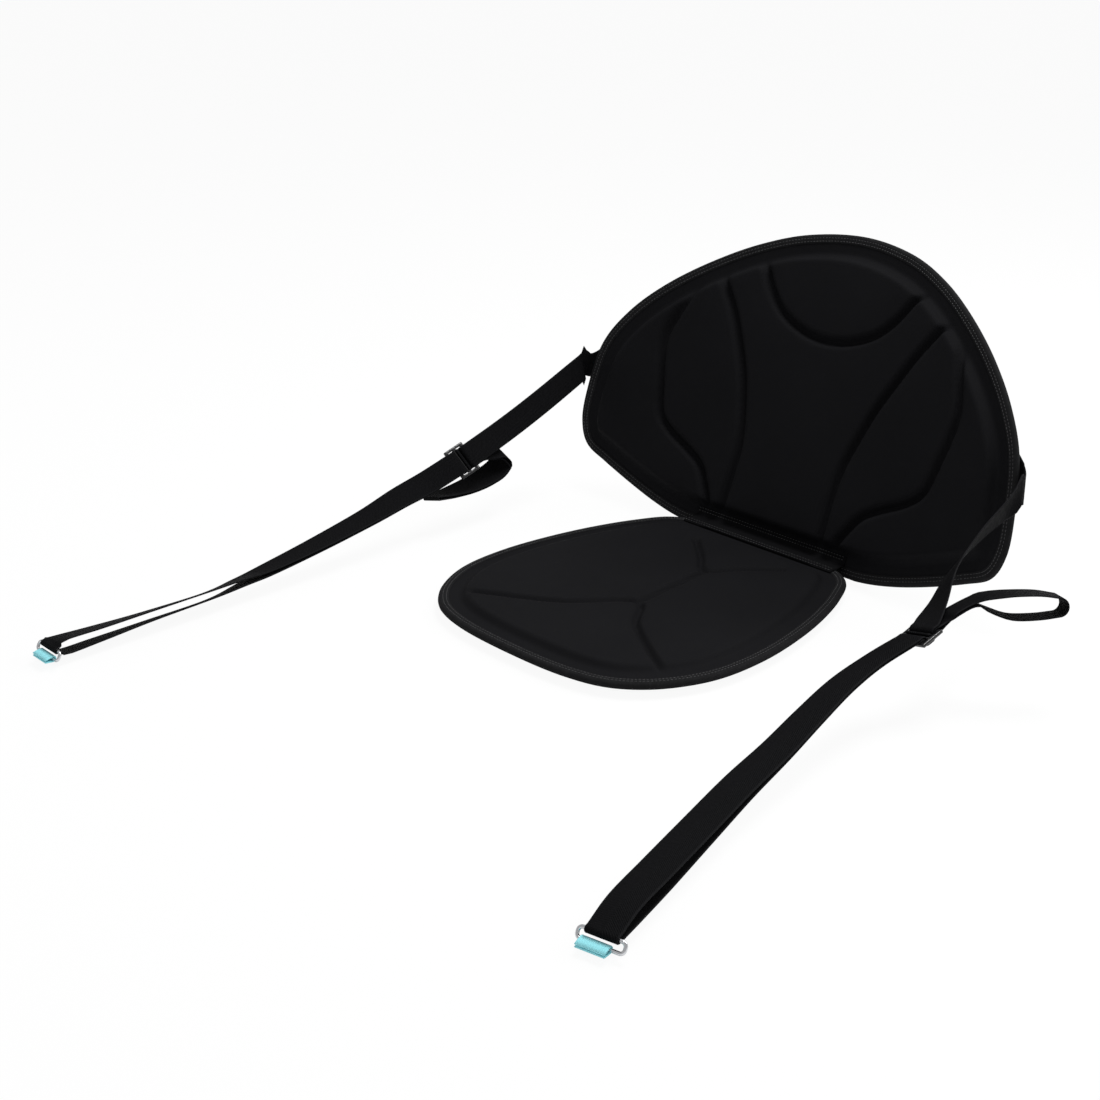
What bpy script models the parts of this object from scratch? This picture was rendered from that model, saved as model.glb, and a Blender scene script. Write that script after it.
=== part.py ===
"""Kayak seat: a moulded foam seat pad and a bowed, moulded foam backrest, sewn
together by a fabric hinge, with a webbing strap, slider and ring on each side.

Metres. X is across the seat, -Y is the front, Z is up. The origin is the middle
of the pad's underside, which lies on the plane z = 0.
"""
import math

import bmesh
import bpy
import numpy as np
from mathutils import Matrix

COLLECTION = "kayak_seat"

# Seat pad: outline, flange and moulded height.
PAD_WIDTH = 0.325
PAD_LENGTH = 0.3375
PAD_BASE = 0.0065
PAD_COVER = 0.0013
PAD_FLANGE = 0.0022
PAD_DOME = 0.0055
PAD_CHANNEL_DEPTH = 0.0046

# Backrest: outline, flange, moulded height, lean, and how far its sides bow forward
# at the hinge and at the top.
BACK_WIDTH = 0.520
BACK_HEIGHT = 0.315
BACK_COVER = 0.0015
BACK_FLANGE = 0.0035
BACK_DOME = 0.0115
BACK_LEAN = math.radians(22.95)
BOW_AT_HINGE = 0.0166
BOW_AT_TOP = 0.0811
HINGE_HEIGHT = 0.0102
HINGE_DROP = 0.0068
HINGE_SIDE_FLAT = 0.0004

# Both panels: flange width, moulded channels and the sewn edge tape.
FLANGE_WIDTH = 0.0195
DOME_PROFILE = [(0.0, 0.0), (0.0, 0.30), (0.0022, 0.72), (0.0095, 1.0)]
CHANNEL_RADIUS = 0.0050
BACK_CHANNEL_DEPTH = 0.0068
LAYER_GAP = 0.0006
TAPE_WALL = 0.0009
TAPE_LIP = 0.0085
TAPE_EDGE = 0.0016

# Stiffener board sealed between the backrest's foam and its rear cover.
BOARD_THICKNESS = 0.0016
BOARD_INSET = 0.048

# Fabric hinge: its gap, how far it lies on the pad and reaches past it, and its fold up
# the backrest as heights above the hinge line and distances off the foam.
HINGE_TAPE_WIDTH = 0.186
HINGE_TAPE_THICKNESS = 0.0010
HINGE_GAP = 0.0140
HINGE_ON_PAD = 0.0125
HINGE_PAST_PAD = 0.0012
HINGE_FOLD = [(0.0030, 0.0014), (0.0058, 0.0), (0.0115, 0.0)]

# Webbing, sliders, rings and anchor tabs.
WEB_WIDTH = 0.025
WEB_THICKNESS = 0.0014
FIT_GAP = 0.0003
BACK_GAP = 0.0006
SLIDER_WIDTH = 0.033
SLIDER_BAR = 0.0040
SLIDER_SLOT = 0.0060
SLIDER_THICKNESS = 0.0030
SLIDER_EDGE = 0.0007
SLOT_PLAY = 0.002
RING_WIDTH = 0.038
RING_DEPTH = 0.0105
RING_WIRE = 0.0028
RING_CORNER = 0.0032
RING_TILT = math.radians(60.0)
TAB_WIDTH = 0.0225
TAB_THICKNESS = 0.0012
TAB_REACH = 0.0075
TAB_ENDS = (0.0005, -0.0014)
TAB_SHIFT = {"right": -0.0030, "left": 0.0}
STRAP_SEWN = 0.0525
PATCH_LENGTH = 0.040
PATCH_WIDTH = 0.040
PATCH_THICKNESS = 0.0012
PATCH_OVERHANG = 0.004
PATCH_RAISE = 0.002
LOOP_STEM = (0.0062, 0.0105)
BIGHT_LEAD = 0.0015

# Where the straps leave the backrest, and where the sliders and rings lie.
STRAP_ROOT_HEIGHT = 0.124
STRAP_RISE = 0.80
EDGE_SLOPE = -0.16
STRAP_FOLD = [(0.0010, 0.0), (0.0052, 0.0016), (0.0080, 0.0048), (0.0088, 0.0092)]
SLIDER_AT = {"right": (0.2920, 0.0075, 0.0655), "left": (-0.2610, 0.0072, 0.0710)}
RING_AT = {"right": (0.3480, -0.4020, 0.0128), "left": (-0.2634, -0.4537, 0.0154)}
SLIDER_RUN = {"right": (-0.05, -0.95, -0.28), "left": (-0.01, -0.95, -0.29)}
SLIDER_ACROSS = {"right": (0.94, -0.24, 0.22), "left": (-0.62, -0.20, 0.72)}
RING_ACROSS = {"right": (0.973, 0.228, 0.0), "left": (-1.0, 0.0, 0.0)}

# Routes chosen by hand, a row a point: its place, then the webbing's width direction.
# The rows of a doubled run end with the distance between its two layers.
UPPER_ROUTE = {
    "right": [(0.2650, 0.1640, 0.1235, 0.22, 0.10, 0.93),
              (0.2655, 0.1230, 0.1085, 0.42, -0.16, 0.86),
              (0.2710, 0.0810, 0.0935, 0.62, -0.30, 0.70),
              (0.2820, 0.0480, 0.0800, 0.82, -0.28, 0.46)],
    "left": [(-0.2650, 0.1640, 0.1255, -0.48, -0.20, 0.82),
             (-0.2620, 0.1200, 0.1098, -0.55, -0.25, 0.78),
             (-0.2610, 0.0900, 0.0990, -0.58, -0.25, 0.76),
             (-0.2610, 0.0620, 0.0890, -0.60, -0.25, 0.74)],
}
LOWER_ROUTE = {
    "right": [(0.2810, -0.0330, 0.0555, 0.95, -0.06, 0.22, 0.0018),
              (0.2805, -0.0740, 0.0478, 0.97, 0.00, 0.12, 0.0020),
              (0.2858, -0.1200, 0.0390, 0.98, 0.05, 0.02, 0.0022),
              (0.2935, -0.1670, 0.0318, 0.98, 0.09, -0.05, 0.0032),
              (0.3025, -0.2200, 0.0272, 0.97, 0.15, -0.10, 0.0062),
              (0.3152, -0.2770, 0.0232, 0.97, 0.20, -0.10, 0.0090),
              (0.3292, -0.3320, 0.0216, 0.97, 0.22, -0.08, 0.0112),
              (0.3405, -0.3760, 0.0202, 0.97, 0.22, -0.03, 0.0108)],
    "left": [(-0.2618, -0.0360, 0.0595, -0.74, -0.16, 0.62, 0.0018),
             (-0.2628, -0.0730, 0.0518, -0.88, -0.10, 0.44, 0.0020),
             (-0.2635, -0.1180, 0.0410, -0.97, -0.04, 0.20, 0.0022),
             (-0.2642, -0.1740, 0.0305, -0.99, 0.0, 0.05, 0.0026),
             (-0.2650, -0.2290, 0.0220, -0.99, 0.0, -0.12, 0.0036),
             (-0.2658, -0.2620, 0.0189, -0.95, 0.0, -0.33, 0.0055),
             (-0.2664, -0.2980, 0.0164, -0.91, 0.0, -0.45, 0.0069),
             (-0.2667, -0.3560, 0.0165, -0.94, 0.0, -0.40, 0.0081),
             (-0.2667, -0.4100, 0.0175, -0.99, 0.0, -0.29, 0.0106),
             (-0.2668, -0.4400, 0.0186, -1.0, 0.0, -0.23, 0.0125)],
}
LOOP_ROUTE = {
    "right": [(0.2990, 0.0400, 0.0780, 0.86, -0.38, 0.34, 0.0022),
              (0.3080, 0.0590, 0.0850, 0.78, -0.57, 0.26, 0.0036),
              (0.3205, 0.0640, 0.0865, 0.72, -0.66, 0.20, 0.0130),
              (0.3333, 0.0700, 0.0870, 0.70, -0.66, 0.20, 0.0190),
              (0.3475, 0.0870, 0.0865, 0.70, -0.66, 0.22, 0.0190),
              (0.3570, 0.0985, 0.0860, 0.70, -0.66, 0.24, 0.0150)],
    "left": [(-0.2612, 0.0442, 0.0745, -0.68, -0.18, 0.68, 0.0021),
             (-0.2615, 0.0572, 0.0695, -0.78, -0.12, 0.50, 0.0034),
             (-0.2618, 0.0632, 0.0605, -0.80, -0.08, 0.46, 0.0040),
             (-0.2620, 0.0560, 0.0512, -0.82, -0.04, 0.42, 0.0034),
             (-0.2620, 0.0400, 0.0455, -0.88, 0.0, 0.36, 0.0026),
             (-0.2620, 0.0180, 0.0415, -0.94, 0.0, 0.22, 0.0021),
             (-0.2620, -0.0080, 0.0400, -0.97, 0.0, 0.0, 0.0024),
             (-0.2620, -0.0320, 0.0400, -0.94, 0.0, -0.25, 0.0030)],
}

# How finely the shapes are cut.
STATION_X = 0.020
STATION_V = 0.030
WEB_STEP = 0.014
PAD_STEP = 0.021
BACK_STEP = 0.026
CHANNEL_STEP = 0.024
CUT_PAST = 0.01

# Outline shares: half width and height, from the hinge to the top or the front.
BACK_SHAPE = [(0.0, 0.0), (0.206, 0.0), (0.412, 0.0), (0.585, 0.025), (0.864, 0.101), (0.963, 0.140),
              (1.0, 0.209), (0.996, 0.330), (0.960, 0.481), (0.875, 0.602), (0.750, 0.716),
              (0.588, 0.825), (0.419, 0.912), (0.239, 0.972), (0.0, 1.0)]
PAD_SHAPE = [(0.0, 0.0), (0.272, 0.0), (0.545, 0.0), (0.690, 0.042), (0.798, 0.135), (0.892, 0.260),
             (0.962, 0.405), (1.0, 0.565), (0.982, 0.712), (0.917, 0.806), (0.806, 0.890),
             (0.644, 0.954), (0.412, 0.988), (0.0, 1.0)]

# Channels of the backrest's right half, as shares of the half width and of the height,
# and of the whole pad, whose pattern lies a little to the right of its middle.
BACK_INNER = [(0.239, 0.06), (0.235, 0.206), (0.243, 0.303), (0.279, 0.415), (0.316, 0.505),
              (0.371, 0.600), (0.430, 0.690), (0.525, 0.800)]
BACK_OUTER = [(0.285, 0.04), (0.342, 0.128), (0.390, 0.185), (0.471, 0.225), (0.559, 0.261),
              (0.621, 0.303), (0.654, 0.394), (0.684, 0.541), (0.651, 0.641), (0.600, 0.745)]
BACK_LENS = [(0.375, 0.865), (0.342, 0.840), (0.287, 0.773), (0.213, 0.716), (0.107, 0.678), (0.0, 0.666)]
PAD_REAR_LEGS = [(0.385, 0.130), (0.200, 0.222), (0.085, 0.292), (-0.090, 0.215), (-0.262, 0.142)]
PAD_SPINE = [(0.086, 0.296), (0.119, 0.574)]
PAD_FRONT_LEGS = [(0.845, 0.845), (0.560, 0.765), (0.300, 0.678), (0.120, 0.580), (-0.185, 0.725),
                  (-0.625, 0.853)]

HINGE_Y = PAD_LENGTH / 2 + HINGE_GAP
BACK_FRONT = np.array((0.0, -math.cos(BACK_LEAN), math.sin(BACK_LEAN)))
BACK_UP = np.array((0.0, math.sin(BACK_LEAN), math.cos(BACK_LEAN)))

COLOURS = {
    "foam": ((0.012, 0.012, 0.013), 0.85, 0.0),
    "cover": ((0.010, 0.010, 0.011), 0.9, 0.0),
    "tape": ((0.014, 0.014, 0.015), 0.8, 0.0),
    "board": ((0.05, 0.05, 0.05), 0.5, 0.0),
    "webbing": ((0.013, 0.013, 0.014), 0.8, 0.0),
    "slider": ((0.02, 0.02, 0.02), 0.3, 0.0),
    "ring": ((0.55, 0.56, 0.58), 0.25, 1.0),
    "tab": ((0.27, 0.75, 0.83), 0.7, 0.0),
}


def new_collection(name):
    group = bpy.data.collections.new(name)
    bpy.context.scene.collection.children.link(group)
    return group


def material(name):
    colour, roughness, metallic = COLOURS[name]
    made = bpy.data.materials.get(name) or bpy.data.materials.new(name)
    made.use_nodes = True
    shader = made.node_tree.nodes["Principled BSDF"]
    shader.inputs["Base Color"].default_value = (*colour, 1.0)
    shader.inputs["Roughness"].default_value = roughness
    shader.inputs["Metallic"].default_value = metallic
    return made


def add_object(name, data, group, finish=None):
    made = bpy.data.objects.new(name, data)
    group.objects.link(made)
    if finish:
        made.data.materials.append(material(finish))
    return made


def unit(vector):
    made = np.array(vector, float)
    return made / np.linalg.norm(made)


def spline(points, step, closed=False):
    """Points along a centripetal Catmull-Rom curve through the given points."""
    given = [np.array(p, float) for p in points]
    count = len(given)
    if closed:
        ring = [given[-1]] + given + given[:2]
    else:
        ring = [2 * given[0] - given[1]] + given + [2 * given[-1] - given[-2]]
    out = []
    for i in range(count if closed else count - 1):
        a, b, c, d = ring[i:i + 4]
        ta = 0.0
        tb = ta + max(np.linalg.norm(b - a), 1e-9) ** 0.5
        tc = tb + max(np.linalg.norm(c - b), 1e-9) ** 0.5
        td = tc + max(np.linalg.norm(d - c), 1e-9) ** 0.5
        pieces = max(1, round(float(np.linalg.norm(c[:3] - b[:3])) / step))
        for k in range(pieces):
            t = tb + (tc - tb) * k / pieces
            ab = ((tb - t) * a + (t - ta) * b) / (tb - ta)
            bc = ((tc - t) * b + (t - tb) * c) / (tc - tb)
            cd = ((td - t) * c + (t - tc) * d) / (td - tc)
            abc = ((tc - t) * ab + (t - ta) * bc) / (tc - ta)
            bcd = ((td - t) * bc + (t - tb) * cd) / (td - tb)
            out.append(((tc - t) * abc + (t - tb) * bcd) / (tc - tb))
    if not closed:
        out.append(given[-1])
    return out


def mirrored_outline(shape, width, length, step):
    """A closed outline from the half outline's shares, hinge side at height 0."""
    half = [(x * width / 2, y * length) for x, y in shape]
    other = [(-x, y) for x, y in reversed(half) if x > 0]
    loop = spline(half + other, step, closed=True)
    for point in loop:
        if point[1] < HINGE_SIDE_FLAT:
            point[1] = 0.0
    return drop_straight(loop)


def drop_straight(loop):
    """The loop without the points that lie on a straight run."""
    kept = []
    for i, point in enumerate(loop):
        before = unit(point - loop[i - 1])
        after = unit(loop[(i + 1) % len(loop)] - point)
        if abs(before[0] * after[1] - before[1] * after[0]) > 1e-4:
            kept.append(point)
    return kept


def offset_outline(loop, distance):
    """The loop moved outwards, or inwards when negative, without crossing itself."""
    count = len(loop)
    moved = []
    for i in range(count):
        along = loop[(i + 1) % count] - loop[i - 1]
        out = np.array((along[1], -along[0])) / np.linalg.norm(along)
        moved.append(loop[i] + out * distance)
    if distance > 0:
        return moved
    starts = np.array(loop)
    spans = np.roll(starts, -1, axis=0) - starts
    kept = []
    for point in moved:
        share = ((point - starts) * spans).sum(1) / (spans ** 2).sum(1)
        near = starts + spans * np.clip(share, 0.0, 1.0)[:, None]
        if np.linalg.norm(near - point, axis=1).min() > -0.97 * distance:
            kept.append(point)
    return kept


def plate(name, outline, low, high, group):
    """A flat plate between two heights, from a filled 2D curve, as a mesh object."""
    curve = bpy.data.curves.new(name, "CURVE")
    curve.dimensions = "2D"
    curve.fill_mode = "BOTH"
    curve.extrude = (high - low) / 2
    line = curve.splines.new("POLY")
    line.points.add(len(outline) - 1)
    for point, (x, y) in zip(line.points, outline):
        point.co = (x, y, 0.0, 1.0)
    line.use_cyclic_u = True
    drawn = add_object(name + "_curve", curve, group)
    drawn.location.z = (high + low) / 2
    return curve_to_mesh(drawn, name, group)


def curve_to_mesh(drawn, name, group):
    """The curve object's welded mesh, and the curve itself removed."""
    bpy.context.view_layer.update()
    graph = bpy.context.evaluated_depsgraph_get()
    mesh = bpy.data.meshes.new_from_object(drawn.evaluated_get(graph))
    mesh.transform(drawn.matrix_world)
    curve = drawn.data
    bpy.data.objects.remove(drawn)
    bpy.data.curves.remove(curve)
    shape = bmesh.new()
    shape.from_mesh(mesh)
    bmesh.ops.remove_doubles(shape, verts=shape.verts, dist=1e-6)
    face_outwards(shape)
    shape.to_mesh(mesh)
    shape.free()
    return add_object(name, mesh, group)


def combine(target, other, operation):
    """Boolean of two mesh objects, applied to the first; the second is removed."""
    step = target.modifiers.new(operation, "BOOLEAN")
    step.operation = operation
    step.solver = "EXACT"
    step.object = other
    bpy.context.view_layer.update()
    graph = bpy.context.evaluated_depsgraph_get()
    mesh = bpy.data.meshes.new_from_object(target.evaluated_get(graph))
    target.modifiers.clear()
    target.data = mesh
    bpy.data.objects.remove(other)


def dome(name, outline, low, high, group):
    """The moulded block that stands on the flange: a hull with a soft shoulder."""
    shape = bmesh.new()
    for inset, share in DOME_PROFILE:
        height = low + (high - low) * share
        for x, y in offset_outline(outline, -FLANGE_WIDTH - inset):
            shape.verts.new((x, y, height))
    bmesh.ops.convex_hull(shape, input=shape.verts)
    loose = [v for v in shape.verts if not v.link_faces]
    bmesh.ops.delete(shape, geom=loose, context="VERTS")
    face_outwards(shape)
    mesh = bpy.data.meshes.new(name)
    shape.to_mesh(mesh)
    shape.free()
    return add_object(name, mesh, group)


def turn_over(obj):
    """Mirror a solid through the floor plane."""
    shape = bmesh.new()
    shape.from_mesh(obj.data)
    for vert in shape.verts:
        vert.co.z = -vert.co.z
    face_outwards(shape)
    shape.to_mesh(obj.data)
    shape.free()


def channel(target, points, bottom, group):
    """A moulded channel: a round tube cut along the line, its lowest edge at bottom."""
    curve = bpy.data.curves.new("channel", "CURVE")
    curve.dimensions = "3D"
    curve.bevel_depth = CHANNEL_RADIUS
    curve.bevel_resolution = 1
    curve.use_fill_caps = True
    line = curve.splines.new("POLY")
    track = spline(points, CHANNEL_STEP)
    line.points.add(len(track) - 1)
    for point, (x, y) in zip(line.points, track):
        point.co = (x, y, bottom + CHANNEL_RADIUS, 1.0)
    cutter = curve_to_mesh(add_object("channel_curve", curve, group), "channel", group)
    combine(target, cutter, "DIFFERENCE")


def edge_tape(name, outline, low, high, group):
    """The U-shaped tape sewn over the panel's edge, open towards the panel."""
    tape = plate(name, offset_outline(outline, TAPE_EDGE), low - TAPE_WALL, high + TAPE_WALL, group)
    inner = plate("inner", offset_outline(outline, -TAPE_LIP), low - CUT_PAST, high + CUT_PAST, group)
    combine(tape, inner, "DIFFERENCE")
    slot = plate("slot", offset_outline(outline, TAPE_EDGE - TAPE_WALL), low, high, group)
    combine(tape, slot, "DIFFERENCE")
    return tape


def merge_flat(obj):
    """Merge the flat triangles that a fill or a cut leaves behind."""
    shape = bmesh.new()
    shape.from_mesh(obj.data)
    bmesh.ops.remove_doubles(shape, verts=shape.verts, dist=2e-6)
    bmesh.ops.dissolve_limit(shape, angle_limit=math.radians(0.3), verts=shape.verts, edges=shape.edges)
    shape.to_mesh(obj.data)
    shape.free()


def cut_stations(obj, axis, pitch, reach):
    """Edge loops across the solid at even steps, so that it can be bowed."""
    shape = bmesh.new()
    shape.from_mesh(obj.data)
    normal = [0.0, 0.0, 0.0]
    normal[axis] = 1.0
    count = int(reach / pitch)
    for k in range(-count, count + 1):
        place = [0.0, 0.0, 0.0]
        place[axis] = k * pitch
        geom = shape.verts[:] + shape.edges[:] + shape.faces[:]
        bmesh.ops.bisect_plane(shape, geom=geom, dist=1e-6, plane_co=place, plane_no=normal)
    shape.to_mesh(obj.data)
    shape.free()


def face_outwards(shape):
    """Turn the faces of a closed shape outwards."""
    shape.normal_update()
    bmesh.ops.recalc_face_normals(shape, faces=shape.faces)
    if shape.calc_volume(signed=True) < 0:
        bmesh.ops.reverse_faces(shape, faces=shape.faces)


def tidy(obj):
    """Merge stray doubles and split every face into triangles."""
    shape = bmesh.new()
    shape.from_mesh(obj.data)
    bmesh.ops.remove_doubles(shape, verts=shape.verts, dist=2e-5)
    bmesh.ops.dissolve_degenerate(shape, edges=shape.edges, dist=1e-6)
    bmesh.ops.triangulate(shape, faces=shape.faces)
    face_outwards(shape)
    shape.to_mesh(obj.data)
    shape.free()


def bow(x, v):
    """How far the backrest bows forward at a place of the flat panel."""
    side = x / (BACK_WIDTH / 2)
    return (BOW_AT_HINGE + (BOW_AT_TOP - BOW_AT_HINGE) * v / BACK_HEIGHT) * side * side


def back_point(x, v, height):
    """World place of a point on the bowed backrest, with its height off the panel."""
    forward = bow(x, v) + height
    base = np.array((x, HINGE_Y, HINGE_HEIGHT))
    return base + v * BACK_UP + forward * BACK_FRONT


def shape_back(obj):
    """Bow and lean a flat backrest layer into place."""
    merge_flat(obj)
    cut_stations(obj, 0, STATION_X, BACK_WIDTH / 2)
    cut_stations(obj, 1, STATION_V, BACK_HEIGHT)
    tidy(obj)
    for vert in obj.data.vertices:
        x, y, z = vert.co
        vert.co = back_point(x, y - HINGE_DROP, z)


def place_pad(obj):
    """Turn a flat pad layer so that its hinge side faces the backrest."""
    tidy(obj)
    for vert in obj.data.vertices:
        vert.co.y = PAD_LENGTH / 2 - vert.co.y
    obj.data.flip_normals()


def scaled(shares, width, length, side=1):
    """Lengths from shares of the half width and of the height."""
    return [(side * x * width / 2, y * length) for x, y in shares]


def build_pad(parts, cutters):
    """The pad's base, foam and edge tape; returns the height of the tape's top."""
    outline = mirrored_outline(PAD_SHAPE, PAD_WIDTH, PAD_LENGTH, PAD_STEP)
    tape_low = PAD_BASE + TAPE_WALL
    rim_low = tape_low + LAYER_GAP
    foam_low = rim_low + PAD_COVER + LAYER_GAP
    foam_high = foam_low + PAD_FLANGE
    top = foam_high + PAD_DOME
    sunk = top - PAD_CHANNEL_DEPTH

    cover = plate("seat_base", outline, rim_low, rim_low + PAD_COVER, parts)
    belly = dome("belly", outline, -rim_low - PAD_COVER / 2, 0.0, cutters)
    turn_over(belly)
    combine(cover, belly, "UNION")

    foam = plate("seat_foam", outline, foam_low, foam_high, parts)
    combine(foam, dome("dome", outline, foam_low + PAD_FLANGE / 2, top, cutters), "UNION")
    channel(foam, scaled(PAD_REAR_LEGS, PAD_WIDTH, PAD_LENGTH), sunk, cutters)
    channel(foam, scaled(PAD_FRONT_LEGS, PAD_WIDTH, PAD_LENGTH), sunk, cutters)
    channel(foam, scaled(PAD_SPINE, PAD_WIDTH, PAD_LENGTH), sunk + 0.0001, cutters)

    tape = edge_tape("seat_edge_tape", outline, tape_low, foam_high + LAYER_GAP, parts)
    for piece, finish in ((cover, "cover"), (foam, "foam"), (tape, "tape")):
        place_pad(piece)
        piece.data.materials.append(material(finish))
    return foam_high + LAYER_GAP + TAPE_WALL


def build_back(parts, cutters):
    """The backrest's layers and edge tape; returns how far behind its middle they end."""
    outline = mirrored_outline(BACK_SHAPE, BACK_WIDTH, BACK_HEIGHT, BACK_STEP)
    foam_low = -BACK_FLANGE / 2
    foam_high = BACK_FLANGE / 2
    top = foam_high + BACK_DOME
    sunk = top - BACK_CHANNEL_DEPTH
    cover_high = foam_low - LAYER_GAP

    foam = plate("backrest_foam", outline, foam_low, foam_high, parts)
    combine(foam, dome("dome", outline, foam_high - BACK_FLANGE / 2, top, cutters), "UNION")
    for side in (1, -1):
        channel(foam, scaled(BACK_INNER, BACK_WIDTH, BACK_HEIGHT, side), sunk, cutters)
        channel(foam, scaled(BACK_OUTER, BACK_WIDTH, BACK_HEIGHT, side), sunk, cutters)
    lens = scaled(BACK_LENS, BACK_WIDTH, BACK_HEIGHT)
    channel(foam, lens + [(-x, y) for x, y in reversed(lens[:-1])], sunk, cutters)
    pocket_top = foam_low + BOARD_THICKNESS + LAYER_GAP
    board_outline = offset_outline(outline, -BOARD_INSET)
    pocket_outline = offset_outline(board_outline, LAYER_GAP)
    pocket = plate("pocket", pocket_outline, foam_low - CUT_PAST, pocket_top, cutters)
    combine(foam, pocket, "DIFFERENCE")

    board = plate("backrest_stiffener", board_outline, foam_low, foam_low + BOARD_THICKNESS, parts)
    cover = plate("backrest_rear_cover", outline, cover_high - BACK_COVER, cover_high, parts)
    rear = cover_high - BACK_COVER - LAYER_GAP
    tape = edge_tape("backrest_edge_tape", outline, rear, foam_high + LAYER_GAP, parts)
    for piece, finish in ((foam, "foam"), (board, "board"), (cover, "cover"), (tape, "tape")):
        shape_back(piece)
        piece.data.materials.append(material(finish))
    return rear - TAPE_WALL


def strip(name, stations, thickness, group, finish, closed=False):
    """A strap solid: an open strip through pairs of edge points, thickened evenly."""
    mesh = bpy.data.meshes.new(name)
    shape = bmesh.new()
    first = [shape.verts.new(p) for p in stations[0]]
    rungs = [shape.edges.new(first)]
    for pair in stations[1:]:
        grown = bmesh.ops.extrude_edge_only(shape, edges=[rungs[-1]])["geom"]
        new_edge = next(g for g in grown if isinstance(g, bmesh.types.BMEdge) and
                        all(v in grown for v in g.verts))
        verts = {tuple(v.co): v for v in new_edge.verts}
        for old, place in zip(rungs[-1].verts, (0, 1)):
            verts[tuple(old.co)].co = pair[place]
        rungs.append(shape.edges.get((new_edge.verts[0], new_edge.verts[1])))
    if closed:
        bmesh.ops.bridge_loops(shape, edges=[rungs[-1], rungs[0]])
    bmesh.ops.recalc_face_normals(shape, faces=shape.faces)
    for face in list(shape.faces):
        corners = list(face.verts)
        even = corners[0].co.z + corners[2].co.z
        odd = corners[1].co.z + corners[3].co.z
        chosen = corners[0::2] if even > odd else corners[1::2]
        bmesh.ops.connect_verts(shape, verts=chosen)
    shape.to_mesh(mesh)
    shape.free()
    made = add_object(name, mesh, group, finish)
    solid = made.modifiers.new("thickness", "SOLIDIFY")
    solid.thickness = thickness
    solid.offset = 0.0
    solid.use_even_offset = True
    return made


def ribbon_stations(rows, width, closed=False):
    """Edge point pairs for rows of: place, then width direction, which may be askew."""
    pairs = []
    for i, row in enumerate(rows):
        along, across = row_directions(rows, i, closed)
        reach = width / 2 / np.linalg.norm(np.cross(along, across))
        pairs.append((row[:3] - across * reach, row[:3] + across * reach))
    return pairs


def row_directions(rows, i, closed=False):
    """The run and the width direction at a row."""
    before = rows[i - 1] if closed or i else rows[i]
    after = rows[(i + 1) % len(rows)] if closed or i < len(rows) - 1 else rows[i]
    return unit(after[:3] - before[:3]), unit(rows[i][3:6])


def slider_frame(side):
    """Place, direction to the ring, width direction and the pull loop's side."""
    place = np.array(SLIDER_AT[side])
    run = unit(SLIDER_RUN[side])
    across = np.array(SLIDER_ACROSS[side])
    across = unit(across - run * np.dot(across, run))
    under = np.cross(across, run)
    if under[2] > 0:
        under = -under
    return place, run, across, under


def ring_frame(side):
    """Bar middle, bar direction, and the direction from the bar towards the tab."""
    place = np.array(RING_AT[side])
    bar = unit(RING_ACROSS[side])
    forward = np.array((bar[1], -bar[0], 0.0))
    if forward[1] > 0:
        forward = -forward
    down = np.array((0.0, 0.0, -1.0))
    towards = math.cos(RING_TILT) * forward + math.sin(RING_TILT) * down
    return place, bar, forward, towards


def build_strap(side, rear, parts):
    """One length of webbing: backrest, through the slider, round the ring and back."""
    sign = 1 if side == "right" else -1
    half = WEB_THICKNESS / 2
    edge = back_half_width(STRAP_ROOT_HEIGHT) + TAPE_EDGE
    behind = rear - BACK_GAP - half
    patch_behind = behind - half - BACK_GAP - PATCH_THICKNESS / 2

    root = edge - STRAP_SEWN
    sewn = [(root + (edge - root) * k / 4, behind) for k in range(4)]
    fold = [(edge + past, behind + ahead) for past, ahead in STRAP_FOLD]
    rows = []
    for x, height in sewn + fold:
        v = STRAP_ROOT_HEIGHT + STRAP_RISE * (edge - x)
        low = back_point(sign * (x - EDGE_SLOPE * half), v - half, height)
        high = back_point(sign * (x + EDGE_SLOPE * half), v + half, height)
        rows.append(np.array((*(low + high) / 2, *unit(high - low))))
    control = [np.array((*p[:3], *unit(p[3:]))) for p in UPPER_ROUTE[side]]
    frame = slider_frame(side)
    entry, through, end_turn = slider_path(frame)
    route = rows[:-1] + spline(rows[-1:] + control + entry[:1], WEB_STEP)[:-1] + entry + through

    upper, lower = two_layers(side, frame)
    route += lower + ring_turn(side) + upper[::-1] + end_turn
    strip(side + "_strap", ribbon_stations(route, WEB_WIDTH), WEB_THICKNESS, parts, "webbing")
    build_patch(side, sign, root, patch_behind, parts)


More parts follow.
